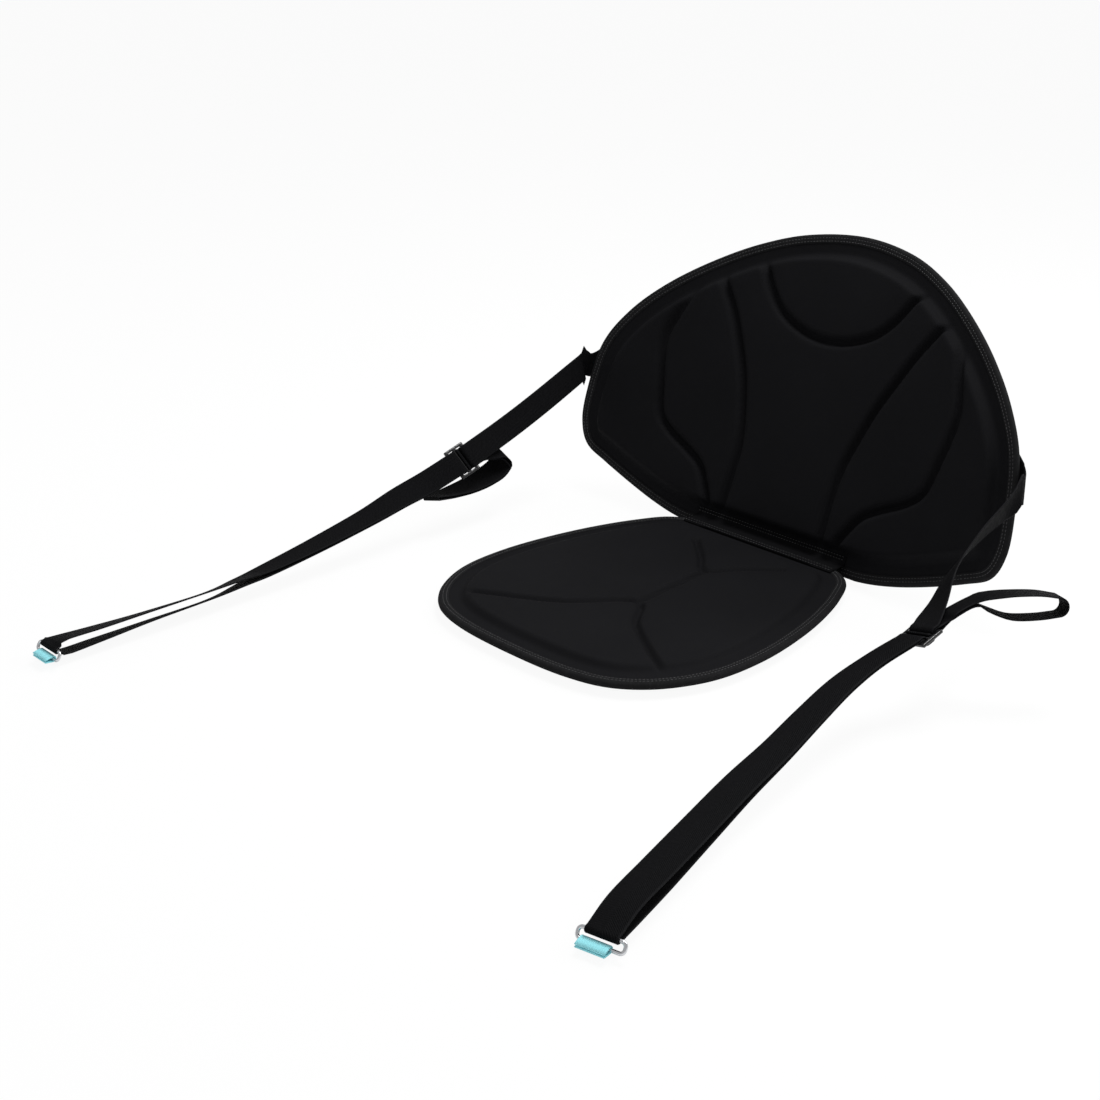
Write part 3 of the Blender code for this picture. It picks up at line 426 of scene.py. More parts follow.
def binding_section(low, high):
    """The tape's U section: distance out from the panel's edge, and height."""
    middle = (low + high) / 2
    reach = (high - low) / 2 + TAPE_WALL
    heart = -0.0022
    dips = []
    for row in (TAPE_LIP - 0.0001, STITCH_ROWS[1] + 0.0011, STITCH_ROWS[1], STITCH_ROWS[1] - 0.0011,
                STITCH_ROWS[0] + 0.0010, STITCH_ROWS[0]):
        sunk = STITCH_SINK if row in STITCH_ROWS else 0.0
        sunk = LIP_SINK if row == TAPE_LIP - 0.0001 else sunk
        dips.append((-row, reach - sunk))
    outer = [(d, middle - h) for d, h in dips]
    for k in range(9):
        turn = math.radians(-90 + 22.5 * k)
        outer.append((heart + (TAPE_EDGE - heart) * math.cos(turn), middle + reach * math.sin(turn)))
    outer += [(d, middle + h) for d, h in reversed(dips)]
    inner = [(-TAPE_LIP, high + 0.00005), (-0.0030, high + 0.00005), (TAPE_EDGE - TAPE_WALL - 0.0006, high),
             (TAPE_EDGE - TAPE_WALL, middle), (TAPE_EDGE - TAPE_WALL - 0.0006, low),
             (-0.0030, low - 0.00005), (-TAPE_LIP, low - 0.00005)]
    return outer + inner


def bound_edge(name, edge, low, high, wrap, finish, stands_for):
    """The binding tape round a panel."""
    section = np.array(binding_section(low, high))
    _, outward, run = edge_frames(edge)
    rings = []
    flats = []
    girth = np.concatenate([[0.0], np.cumsum(np.linalg.norm(np.diff(section, axis=0), axis=1))])
    for place, out, length in zip(edge, outward, run):
        x = place[0] + out[0] * section[:, 0]
        y = place[1] + out[1] * section[:, 0]
        rings.append(wrap(x, y, section[:, 1]))
        flats.append([(g, length, 0.0) for g in girth])
    skin = swept(rings, flats, closed=True)
    return finished_piece(name, skin, finish, stands_for=stands_for)


stitch_mesh = bpy.data.meshes.new("one_stitch")
stitch_shape = bmesh.new()
bmesh.ops.create_icosphere(stitch_shape, subdivisions=1, radius=1.0)
stitch_shape.to_mesh(stitch_mesh)
stitch_shape.free()


def stitching(name, spots, finish, body="seat", length=STITCH_LENGTH, thick=0.0007):
    """A row of stitches, each a small spindle of thread lying on the cloth."""
    seam = bmesh.new()
    for place, along, normal in spots:
        side = np.cross(normal, along)
        turned = Matrix((along * length / 2, side * thick / 2, normal * thick * 0.42)).transposed().to_4x4()
        one = stitch_mesh.copy()
        one.transform(Matrix.Translation(place) @ turned)
        seam.from_mesh(one)
        bpy.data.meshes.remove(one)
    return finished_piece(name, seam, finish, body)


def edge_spots(edge, row, height, wrap, pitch=STITCH_PITCH):
    """Where the stitches of one row round a panel lie, on one of its faces."""
    along, outward, run = edge_frames(edge)
    total = run[-1] + np.linalg.norm(edge[0] - edge[-1])
    count = int(total / pitch)
    spots = []
    line = edge - outward * row
    for k in range(count):
        at = total * k / count
        i = int(np.searchsorted(run, at, side="right")) - 1
        step = (at - run[i]) / (total / len(edge))
        here = line[i] + (line[(i + 1) % len(edge)] - line[i]) * min(step, 1.0)
        near = here + along[i] * 0.0005
        lifted = wrap(np.array([here[0]]), np.array([here[1]]), np.array([height + 0.0005]))[0]
        place, ahead_of = wrap(np.array([here[0], near[0]]), np.array([here[1], near[1]]),
                               np.array([height, height]))
        spots.append((place, unit(ahead_of - place), unit(lifted - place)))
    return spots


def binding_finish(name, colour):
    """Grosgrain tape: fine ribs across the tape and rubbed patches all over it."""
    tape = Finish(name, Roughness=0.8, Sheen_Weight=0.0)
    tape.shader.inputs["Specular IOR Level"].default_value = 0.05
    flat = tape.node("ShaderNodeAttribute", {"attribute_name": "flat"}, output=1)
    run = tape.node("ShaderNodeSeparateXYZ", None, {0: flat}, output=1)
    ribs = (run * (2 * math.pi / 0.0011)).sine()
    worn = tape.node("ShaderNodeTexNoise", None, {"Vector": flat, "Scale": 160.0, "Detail": 3.0})
    tone = worn * 0.7 + ribs * 0.12 + 0.6
    tape.feed(tape.shader.inputs["Base Color"], tape.node(
        "ShaderNodeVectorMath", {"operation": "SCALE"}, {0: colour, "Scale": tone}))
    tape.feed(tape.shader.inputs["Normal"], tape.node("ShaderNodeBump", None, {
        "Strength": 0.6, "Distance": 0.0003, "Height": ribs * 0.6 + worn * 0.8}))
    return tape


def thread_finish(name, colour):
    """Bonded thread: a twisted strand, a little glossier than the cloth."""
    thread = Finish(name, Roughness=0.55)
    place = thread.node("ShaderNodeTexCoord", output=3)
    strand = thread.node("ShaderNodeTexNoise", None, {"Vector": place, "Scale": 1400.0, "Detail": 1.0})
    thread.feed(thread.shader.inputs["Base Color"], thread.node(
        "ShaderNodeVectorMath", {"operation": "SCALE"}, {0: colour, "Scale": strand * 0.8 + 0.6}))
    thread.feed(thread.shader.inputs["Normal"], thread.node("ShaderNodeBump", None, {
        "Strength": 0.4, "Distance": 0.0002, "Height": strand}))
    return thread


binding_tape = binding_finish("binding_tape", (0.0105, 0.0105, 0.0112))
black_thread = thread_finish("black_thread", (0.034, 0.034, 0.036))
fine_pad_edge = edge_line(PAD_SHAPE, PAD_WIDTH, PAD_LENGTH, 0.0036)
PAD_TAPE_LOW = 0.0074
PAD_TAPE_HIGH = 0.0127
bound_edge("seat_pad_binding", fine_pad_edge, PAD_TAPE_LOW, PAD_TAPE_HIGH, pad_wrap, binding_tape,
           ["seat_edge_tape"])
pad_spots = []
for row in STITCH_ROWS:
    pad_spots += edge_spots(fine_pad_edge, row, PAD_TAPE_HIGH + TAPE_WALL - 0.0001, pad_wrap)
    pad_spots += edge_spots(fine_pad_edge, row, PAD_TAPE_LOW - TAPE_WALL + 0.0001, pad_wrap)
stitching("seat_pad_stitching", pad_spots, black_thread)


# The backrest is moulded like the pad, higher and softer, and bows forward at both
# sides. A lens at the top and two pairs of channels divide it.
BACK_WIDTH = 0.520
BACK_HEIGHT = 0.315
BACK_LEAN = math.radians(22.95)
BACK_FLANGE = 0.0035
BACK_RISE = 0.0118
BOW_AT_HINGE = 0.0166
BOW_AT_TOP = 0.0811
HINGE_Y = PAD_LENGTH / 2 + 0.0140
HINGE_HEIGHT = 0.0102
HINGE_DROP = 0.0068
BACK_SHAPE = [(0.0, 0.0), (0.206, 0.0), (0.412, 0.0), (0.585, 0.025), (0.864, 0.101), (0.963, 0.140),
              (1.0, 0.209), (0.996, 0.330), (0.960, 0.481), (0.875, 0.602), (0.750, 0.716),
              (0.588, 0.825), (0.419, 0.912), (0.239, 0.972), (0.0, 1.0)]
BACK_INNER = [(0.239, 0.06), (0.235, 0.206), (0.243, 0.303), (0.279, 0.415), (0.316, 0.505),
              (0.371, 0.600), (0.430, 0.690), (0.525, 0.800)]
BACK_OUTER = [(0.285, 0.04), (0.342, 0.128), (0.390, 0.185), (0.471, 0.225), (0.559, 0.261),
              (0.621, 0.303), (0.654, 0.394), (0.684, 0.541), (0.651, 0.641), (0.600, 0.745)]
BACK_LENS = [(0.375, 0.865), (0.342, 0.840), (0.287, 0.773), (0.213, 0.716), (0.107, 0.678), (0.0, 0.666),
             (-0.107, 0.678), (-0.213, 0.716), (-0.287, 0.773), (-0.342, 0.840), (-0.375, 0.865)]


def mirrored(line):
    return [(-x, y) for x, y in line]


def back_place(x, v, height):
    """World place of points of the bowed backrest; height is off the panel's middle."""
    side = x / (BACK_WIDTH / 2)
    forward = (BOW_AT_HINGE + (BOW_AT_TOP - BOW_AT_HINGE) * v / BACK_HEIGHT) * side * side + height
    y = HINGE_Y + v * math.sin(BACK_LEAN) - forward * math.cos(BACK_LEAN)
    z = HINGE_HEIGHT + v * math.cos(BACK_LEAN) + forward * math.sin(BACK_LEAN)
    return np.stack([x, y, z], axis=-1)


def back_wrap(x, y, height):
    return back_place(x, y - HINGE_DROP, height)


back_edge = edge_line(BACK_SHAPE, BACK_WIDTH, BACK_HEIGHT, 0.010)
back_lines = channel_lines([BACK_INNER, mirrored(BACK_INNER), BACK_OUTER, mirrored(BACK_OUTER), BACK_LENS],
                           BACK_WIDTH, BACK_HEIGHT)


def back_heights(points):
    rise = moulded_rise(points, back_edge, back_lines, BACK_RISE, 0.0072, 0.0056)
    return np.full(len(points), -BACK_FLANGE / 2), BACK_FLANGE / 2 + CLOTH_LOFT + rise


backrest = shaped_panel("moulded_backrest", back_edge, 0.0026, back_heights, back_wrap, moulded_cloth,
                        ["backrest_foam"])

# The rear of the backrest is a plain fabric, glued flat. The stiffener board under it
# shows as a faint step.
BOARD_INSET = 0.048
BACK_COVER_HIGH = -BACK_FLANGE / 2 - 0.0006
BACK_COVER = 0.0015


def rear_heights(points):
    inside = distance_to_line(points, back_edge, closed=True)
    step = 0.0006 * smooth(BOARD_INSET - 0.003, BOARD_INSET + 0.001, inside)
    return BACK_COVER_HIGH - BACK_COVER - step, np.full(len(points), BACK_COVER_HIGH)


shaped_panel("backrest_rear_fabric", back_edge, 0.0050, rear_heights, back_wrap, under_cloth,
             ["backrest_rear_cover"])

board_finish = Finish("board_plastic", Roughness=0.5)
board_grain = board_finish.node("ShaderNodeTexNoise", None, {
    "Vector": board_finish.node("ShaderNodeTexCoord", output=3), "Scale": 60.0, "Detail": 4.0})
board_finish.feed(board_finish.shader.inputs["Base Color"], board_finish.node(
    "ShaderNodeVectorMath", {"operation": "SCALE"},
    {0: (0.06, 0.06, 0.06), "Scale": board_grain * 0.6 + 0.7}))
board_finish.feed(board_finish.shader.inputs["Roughness"], board_grain * 0.2 + 0.4)
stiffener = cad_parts["backrest_stiffener"]
stiffener.data.materials.clear()
stiffener.data.materials.append(board_finish.material)

fine_back_edge = edge_line(BACK_SHAPE, BACK_WIDTH, BACK_HEIGHT, 0.0040)
BACK_TAPE_LOW = BACK_COVER_HIGH - BACK_COVER - 0.0006
BACK_TAPE_HIGH = BACK_FLANGE / 2 + 0.0006
bound_edge("backrest_binding", fine_back_edge, BACK_TAPE_LOW, BACK_TAPE_HIGH, back_wrap, binding_tape,
           ["backrest_edge_tape"])
back_spots = []
for row in STITCH_ROWS:
    back_spots += edge_spots(fine_back_edge, row, BACK_TAPE_HIGH + TAPE_WALL - 0.0001, back_wrap)
    back_spots += edge_spots(fine_back_edge, row, BACK_TAPE_LOW - TAPE_WALL + 0.0001, back_wrap)
stitching("backrest_stitching", back_spots, black_thread)


# The fabric hinge: a strip sewn on the pad's rear edge and on the backrest's foot,
# with two rows of stitches on each.
HINGE_WIDTH = 0.186
HINGE_THICKNESS = 0.0010
HINGE_ON_PAD = 0.0125
HINGE_PAST_PAD = 0.0012
HINGE_STATIONS = 62
HINGE_DIP = 0.0011
hinge_low = PAD_TAPE_HIGH + TAPE_WALL + 0.0003 + HINGE_THICKNESS / 2
hinge_ahead = BACK_FLANGE / 2 + 0.0003 + HINGE_THICKNESS / 2
pad_rear = PAD_LENGTH / 2 + TAPE_EDGE


def hinge_line(x):
    """The hinge's middle line at one place across the seat, from pad to backrest."""
    controls = [(x, pad_rear - HINGE_ON_PAD, hinge_low - HINGE_DIP), (x, pad_rear - 0.0095, hinge_low),
                (x, pad_rear - 0.0050, hinge_low),
                (x, pad_rear + HINGE_PAST_PAD, hinge_low),
                back_place(x, 0.0030, hinge_ahead + 0.0014), back_place(x, 0.0058, hinge_ahead),
                back_place(x, 0.0085, hinge_ahead), back_place(x, 0.0115, hinge_ahead)]
    return np.array(path(controls, 0.0022))


def strip_ring(line, side, thickness):
    """A closed ring round a line: over its top and back along its underside."""
    along = np.gradient(line, axis=0)
    up = np.cross(np.broadcast_to(side, line.shape), along)
    up /= np.linalg.norm(up, axis=1)[:, None]
    return np.concatenate([line + up * thickness / 2, (line - up * thickness / 2)[::-1]])


hinge_rings = []
hinge_flats = []
for k in range(HINGE_STATIONS + 1):
    x = (k / HINGE_STATIONS - 0.5) * HINGE_WIDTH
    line = hinge_line(x)
    hinge_rings.append(strip_ring(line, np.array((1.0, 0.0, 0.0)), HINGE_THICKNESS))
    shares = np.linspace(0.0, 0.034, len(line))
    hinge_flats.append([(x, s, 0.0) for s in np.concatenate([shares, shares[::-1]])])
hinge_cloth = cloth_finish("hinge_cloth", (0.0042, 0.0042, 0.0047), 0.0010, 0.0, 0.8)
finished_piece("fabric_hinge", swept(hinge_rings, hinge_flats, closed=False), hinge_cloth,
               stands_for=["hinge_tape"])
hinge_spots = []
for k in range(int(HINGE_WIDTH / STITCH_PITCH)):
    x = -HINGE_WIDTH / 2 + 0.0015 + k * STITCH_PITCH
    top = hinge_low + HINGE_THICKNESS / 2
    front = hinge_ahead + HINGE_THICKNESS / 2
    for inset in (0.0100, 0.0055):
        hinge_spots.append((np.array((x, pad_rear - inset, top)), np.array((1.0, 0.0, 0.0)),
                            np.array((0.0, 0.0, 1.0))))
    for v in (0.0072, 0.0102):
        place = back_place(x, v, front)
        hinge_spots.append((place, unit(back_place(x + 0.001, v, front) - place),
                            unit(back_place(x, v, front + 0.001) - place)))
stitching("hinge_stitching", hinge_spots, black_thread)


# Each side has one length of 25 mm webbing. It is sewn under a patch on the back of
# the backrest, folds round the edge, goes through the slider, round the ring and
# back to the slider's middle bar.
WEB_WIDTH = 0.025
WEB_THICKNESS = 0.0014
FIT_GAP = 0.0003
BACK_GAP = 0.0006
WEB_STEP = 0.0042
SLIDER_WIDTH = 0.033
SLIDER_BAR = 0.0040
SLIDER_SLOT = 0.0060
SLIDER_THICKNESS = 0.0030
RING_WIDTH = 0.038
RING_DEPTH = 0.0105
RING_WIRE = 0.0028
RING_CORNER = 0.0032
RING_TILT = math.radians(60.0)
STRAP_SEWN = 0.0525
PATCH_LENGTH = 0.040
PATCH_WIDTH = 0.040
PATCH_THICKNESS = 0.0012
PATCH_OVERHANG = 0.004
PATCH_RAISE = 0.002
LOOP_STEM = (0.0062, 0.0105)
STRAP_ROOT_HEIGHT = 0.124
STRAP_RISE = 0.80
EDGE_SLOPE = -0.16
STRAP_FOLD = [(0.0010, 0.0), (0.0052, 0.0016), (0.0080, 0.0048), (0.0088, 0.0092)]
BIGHT_LEAD = 0.0015
SLIDER_AT = {"right": (0.2920, 0.0075, 0.0655), "left": (-0.2610, 0.0072, 0.0710)}
RING_AT = {"right": (0.3480, -0.4020, 0.0128), "left": (-0.2634, -0.4537, 0.0154)}
SLIDER_RUN = {"right": (-0.05, -0.95, -0.28), "left": (-0.01, -0.95, -0.29)}
SLIDER_ACROSS = {"right": (0.94, -0.24, 0.22), "left": (-0.62, -0.20, 0.72)}
RING_ACROSS = {"right": (0.973, 0.228, 0.0), "left": (-1.0, 0.0, 0.0)}
UPPER_ROUTE = {
    "right": [(0.2650, 0.1640, 0.1235, 0.22, 0.10, 0.93),
              (0.2655, 0.1230, 0.1085, 0.42, -0.16, 0.86),
              (0.2710, 0.0810, 0.0935, 0.62, -0.30, 0.70),
              (0.2820, 0.0480, 0.0800, 0.82, -0.28, 0.46)],
    "left": [(-0.2650, 0.1640, 0.1255, -0.48, -0.20, 0.82),
             (-0.2620, 0.1200, 0.1098, -0.55, -0.25, 0.78),
             (-0.2610, 0.0900, 0.0990, -0.58, -0.25, 0.76),
             (-0.2610, 0.0620, 0.0890, -0.60, -0.25, 0.74)],
}
LOWER_ROUTE = {
    "right": [(0.2810, -0.0330, 0.0555, 0.95, -0.06, 0.22, 0.0018),
              (0.2805, -0.0740, 0.0478, 0.97, 0.00, 0.12, 0.0020),
              (0.2858, -0.1200, 0.0390, 0.98, 0.05, 0.02, 0.0022),
              (0.2935, -0.1670, 0.0318, 0.98, 0.09, -0.05, 0.0032),
              (0.3025, -0.2200, 0.0272, 0.97, 0.15, -0.10, 0.0062),
              (0.3152, -0.2770, 0.0232, 0.97, 0.20, -0.10, 0.0090),
              (0.3292, -0.3320, 0.0216, 0.97, 0.22, -0.08, 0.0112),
              (0.3405, -0.3760, 0.0202, 0.97, 0.22, -0.03, 0.0108)],
    "left": [(-0.2618, -0.0360, 0.0595, -0.74, -0.16, 0.62, 0.0018),
             (-0.2628, -0.0730, 0.0518, -0.88, -0.10, 0.44, 0.0020),
             (-0.2635, -0.1180, 0.0410, -0.97, -0.04, 0.20, 0.0022),
             (-0.2642, -0.1740, 0.0305, -0.99, 0.0, 0.05, 0.0026),
             (-0.2650, -0.2290, 0.0220, -0.99, 0.0, -0.12, 0.0036),
             (-0.2658, -0.2620, 0.0189, -0.95, 0.0, -0.33, 0.0055),
             (-0.2664, -0.2980, 0.0164, -0.91, 0.0, -0.45, 0.0069),
             (-0.2667, -0.3560, 0.0165, -0.94, 0.0, -0.40, 0.0081),
             (-0.2667, -0.4100, 0.0175, -0.99, 0.0, -0.29, 0.0106),
             (-0.2668, -0.4400, 0.0186, -1.0, 0.0, -0.23, 0.0125)],
}


def slider_frame(side):
    """Place, direction to the ring, width direction and the pull loop's side."""
    place = np.array(SLIDER_AT[side])
    run = unit(SLIDER_RUN[side])
    across = np.array(SLIDER_ACROSS[side])
    across = unit(across - run * np.dot(across, run))
    under = np.cross(across, run)
    return place, run, across, under if under[2] < 0 else -under


def ring_frame(side):
    """Bar middle, bar direction, and the direction from the bar towards the tab."""
    bar = unit(RING_ACROSS[side])
    forward = np.array((bar[1], -bar[0], 0.0))
    if forward[1] > 0:
        forward = -forward
    towards = math.cos(RING_TILT) * forward + math.sin(RING_TILT) * np.array((0.0, 0.0, -1.0))
    return np.array(RING_AT[side]), bar, forward, towards


def slider_path(side):
    """The webbing's ways at the slider: arriving, through it, and its sewn end."""
    place, run, across, under = slider_frame(side)
    bar = SLIDER_BAR / 2
    pitch = SLIDER_BAR + SLIDER_SLOT
    layer = WEB_THICKNESS + FIT_GAP
    first = SLIDER_THICKNESS / 2 + FIT_GAP + WEB_THICKNESS / 2
    second = first + layer
    close = bar + FIT_GAP + WEB_THICKNESS / 2
    far = pitch / 2
    entry = [(-pitch - 1.5 * bar, -second), (-pitch, -second), (-pitch + 1.4 * bar, -0.95 * second)]
    through = [(-far - 0.15 * bar, -1.05 * first), (-far, 0.0), (-far, 1.05 * first),
               (-0.8 * far, 1.63 * first), (-0.4 * far, 1.74 * first), (0.4 * far, 1.74 * first),
               (0.8 * far, 1.63 * first), (far, 1.05 * first), (far, 0.2 * first),
               (1.12 * far, -0.8 * first), (1.5 * far, -1.04 * first), (pitch, -1.04 * first)]
    end_turn = [(pitch, -1.04 * first - layer), (1.3 * far, -1.02 * first - layer),
                (0.8 * far, -1.28 * first), (close, -0.4 * first), (close, 0.32 * first),
                (0.55 * close, first), (-0.55 * close, first), (-close, 0.32 * first),
                (-close, -0.32 * first), (-0.55 * close, -first), (0.1 * close, -first)]
    return [[np.array((*(place + s * run + h * under), *across)) for s, h in part]
            for part in (entry, through, end_turn)]


def row_directions(rows, i, closed=False):
    """The run and the width direction at a row."""
    before = rows[i - 1] if closed or i else rows[i]
    after = rows[(i + 1) % len(rows)] if closed or i < len(rows) - 1 else rows[i]
    return unit(after[:3] - before[:3]), unit(rows[i][3:6])


def doubled_rows(rows, turn, upper_share, lower_share):
    """Two layers beside a run of rows whose seventh number is their distance."""
    upper = []
    lower = []
    for i, row in enumerate(rows):
        along, width = row_directions(rows, i)
        raised = turn * unit(np.cross(width, along))
        upper.append(np.array((*(row[:3] + upper_share * row[6] * raised), *row[3:6])))
        lower.append(np.array((*(row[:3] - lower_share * row[6] * raised), *row[3:6])))
    return upper, lower, along, raised


def strap_rows(side):
    """The whole strap as rows of place and width direction."""
    sign = 1 if side == "right" else -1
    half = WEB_THICKNESS / 2
    right_edge = fine_back_edge[fine_back_edge[:, 0] > 0.6 * BACK_WIDTH / 2]
    edge = float(np.interp(STRAP_ROOT_HEIGHT, right_edge[:, 1] - HINGE_DROP, right_edge[:, 0])) + TAPE_EDGE
    behind = BACK_TAPE_LOW - TAPE_WALL - BACK_GAP - half
    root = edge - STRAP_SEWN
    sewn = [(root + (edge - root) * k / 8, behind) for k in range(8)]
    fold = [(edge + past, behind + forward) for past, forward in STRAP_FOLD]
    start = []
    for x, height in sewn + fold:
        v = STRAP_ROOT_HEIGHT + STRAP_RISE * (edge - x)
        low = back_place(sign * (x - EDGE_SLOPE * half), v - half, height)
        high = back_place(sign * (x + EDGE_SLOPE * half), v + half, height)
        start.append(np.array((*(low + high) / 2, *unit(high - low))))
    control = [np.array((*p[:3], *unit(p[3:]))) for p in UPPER_ROUTE[side]]
    entry, through, end_turn = slider_path(side)
    rows = start[:8] + path(start[8:], 0.0015)[:-1]
    rows += path(start[-1:] + control + entry[:1], WEB_STEP)[:-1] + path(entry + through, 0.0012)

    _, run, across, under = slider_frame(side)
    layer = WEB_THICKNESS + FIT_GAP
    doubled = [np.array((*end_turn[0], layer))]
    doubled += [np.array((*p[:3], *unit(p[3:6]), p[6])) for p in LOWER_ROUTE[side]]
    bar_place, bar, forward, _ = ring_frame(side)
    reach = RING_WIRE / 2 + FIT_GAP + half
    above = bar_place + np.array((0.0, 0.0, reach)) - BIGHT_LEAD * forward
    doubled.append(np.array((*above, *bar, 2 * reach)))
    turn = -1.0 if np.dot(np.cross(across, run), under) > 0 else 1.0
    upper, lower, _, _ = doubled_rows(path(doubled, WEB_STEP)[1:], turn, 0.0, 1.0)
    bight = []
    for angle in range(-72, 73, 18):
        bend = math.radians(angle)
        out = math.cos(bend) * forward + math.sin(bend) * np.array((0.0, 0.0, 1.0))
        bight.append(np.array((*(bar_place + reach * out), *bar)))
    return rows + lower + bight + upper[::-1] + path(end_turn, 0.0012), root, behind


def ribbon(name, rows, width, thickness, finish, body="seat", closed=False, stands_for=()):
    """A strap: a flat band with soft selvedges, swept along rows that may be askew."""
    a, b, r = width / 2, thickness / 2, 0.0007
    section = [(-a, -0.4 * b), (-a, 0.4 * b), (-a + r, b), (-a + 3 * r, b * 0.93), (0.0, b),
               (a - 3 * r, b * 0.93), (a - r, b), (a, 0.4 * b), (a, -0.4 * b), (a - r, -b),
               (a - 3 * r, -b * 0.93), (0.0, -b), (-a + 3 * r, -b * 0.93), (-a + r, -b)]
    rings = []
    flats = []
    length = 0.0
    for i, row in enumerate(rows):
        along, across = row_directions(rows, i, closed)
        up = unit(np.cross(across, along))
        skew = 1.0 / np.linalg.norm(np.cross(along, across))
        rings.append([row[:3] + across * u * skew + up * w for u, w in section])
        flats.append([(u + a, length, 0.0) for u, _ in section])
        if i + 1 < len(rows):
            length += float(np.linalg.norm(rows[i + 1][:3] - row[:3]))
    return finished_piece(name, swept(rings, flats, closed), finish, body, stands_for)


def webbing_finish(name, colour, width):
    """Woven webbing: a twill of diagonal ribs between two smooth selvedges, which are painted lighter as a
    highlight.
    """
    web = Finish(name, Roughness=0.62, Sheen_Weight=0.0)
    web.shader.inputs["Specular IOR Level"].default_value = 0.03
    flat = web.node("ShaderNodeAttribute", {"attribute_name": "flat"}, output=1)
    u = web.node("ShaderNodeSeparateXYZ", None, {0: flat}, output=0)
    run = web.node("ShaderNodeSeparateXYZ", None, {0: flat}, output=1)
    from_middle = (u - width / 2).size()
    twill = ((from_middle * 0.9 + run) * (2 * math.pi / 0.0019)).sine()
    picks = (run * (2 * math.pi / 0.0007)).sine()
    selvedge_and_highlight = web.node("ShaderNodeMapRange", None, {
        "Value": from_middle, "From Min": width / 2 - 0.0016, "From Max": width / 2 - 0.0004})
    fibre = web.node("ShaderNodeTexNoise", None, {"Vector": flat, "Scale": 420.0, "Detail": 3.0})
    # The selvedges are painted lighter here: a painted highlight where the webbing's rounded edges catch the
    # light.
    tone = twill * 0.20 + picks * 0.08 + fibre * 0.8 + 0.55 + selvedge_and_highlight * 0.55
    web.feed(web.shader.inputs["Base Color"], web.node(
        "ShaderNodeVectorMath", {"operation": "SCALE"}, {0: colour, "Scale": tone}))
    web.feed(web.shader.inputs["Roughness"], 0.66 - selvedge_and_highlight * 0.10 + fibre * 0.08)
    relief = (twill * 0.5 + picks * 0.2) * (1 - selvedge_and_highlight) + fibre * 0.4
    web.feed(web.shader.inputs["Normal"], web.node("ShaderNodeBump", None, {
        "Strength": 0.8, "Distance": 0.0004, "Height": relief}))
    return web


webbing = webbing_finish("woven_webbing", (0.0046, 0.0046, 0.0052), WEB_WIDTH)


# A sewn patch covers the strap's end on the back of the backrest, with a box of
# stitches round its rim and a cross inside.
def patch_place(sign, root, height, share, up_share):
    x = root - PATCH_OVERHANG + PATCH_LENGTH * share
    return back_place(sign * x, STRAP_ROOT_HEIGHT + PATCH_RAISE + PATCH_WIDTH * (up_share - 0.5), height)


def sewn_patch(side, sign, root, behind):
    height = behind - WEB_THICKNESS / 2 - BACK_GAP - PATCH_THICKNESS / 2
    rows = []
    for k in range(13):
        low = patch_place(sign, root, height, k / 12, 0.0)
        high = patch_place(sign, root, height, k / 12, 1.0)
        rows.append(np.array((*(low + high) / 2, *unit(high - low))))
    ribbon(side + "_sewn_patch", rows, PATCH_WIDTH, PATCH_THICKNESS, patch_cloth,
           stands_for=[side + "_strap_patch"])
    face = height - PATCH_THICKNESS / 2
    corners = [(0.08, 0.08), (0.92, 0.08), (0.92, 0.92), (0.08, 0.92), (0.08, 0.08), (0.92, 0.92),
               (0.92, 0.08), (0.08, 0.92)]
    spots = []
    for (s0, u0), (s1, u1) in zip(corners, corners[1:]):
        run = math.hypot((s1 - s0) * PATCH_LENGTH, (u1 - u0) * PATCH_WIDTH)
        count = max(1, int(run / STITCH_PITCH))
        for k in range(count):
            s = s0 + (s1 - s0) * (k + 0.5) / count
            u = u0 + (u1 - u0) * (k + 0.5) / count
            place = patch_place(sign, root, face, s, u)
            beyond = patch_place(sign, root, face, s + (s1 - s0) * 0.02, u + (u1 - u0) * 0.02)
            out = patch_place(sign, root, face - 0.001, s, u)
            spots.append((place, unit(beyond - place), unit(out - place)))
    stitching(side + "_patch_stitching", spots, black_thread)


patch_cloth = webbing_finish("patch_webbing", (0.0050, 0.0050, 0.0056), PATCH_WIDTH)


# The pull loop is a band of the same webbing round the slider's rear bar.
LOOP_ROUTE = {
    "right": [(0.2990, 0.0400, 0.0780, 0.86, -0.38, 0.34, 0.0022),
              (0.3080, 0.0590, 0.0850, 0.78, -0.57, 0.26, 0.0036),
              (0.3205, 0.0640, 0.0865, 0.72, -0.66, 0.20, 0.0130),
              (0.3333, 0.0700, 0.0870, 0.70, -0.66, 0.20, 0.0190),
              (0.3475, 0.0870, 0.0865, 0.70, -0.66, 0.22, 0.0190),
              (0.3570, 0.0985, 0.0860, 0.70, -0.66, 0.24, 0.0150)],
    "left": [(-0.2612, 0.0442, 0.0745, -0.68, -0.18, 0.68, 0.0021),
             (-0.2615, 0.0572, 0.0695, -0.78, -0.12, 0.50, 0.0034),
             (-0.2618, 0.0632, 0.0605, -0.80, -0.08, 0.46, 0.0040),
             (-0.2620, 0.0560, 0.0512, -0.82, -0.04, 0.42, 0.0034),
             (-0.2620, 0.0400, 0.0455, -0.88, 0.0, 0.36, 0.0026),
             (-0.2620, 0.0180, 0.0415, -0.94, 0.0, 0.22, 0.0021),
             (-0.2620, -0.0080, 0.0400, -0.97, 0.0, 0.0, 0.0024),
             (-0.2620, -0.0320, 0.0400, -0.94, 0.0, -0.25, 0.0030)],
}


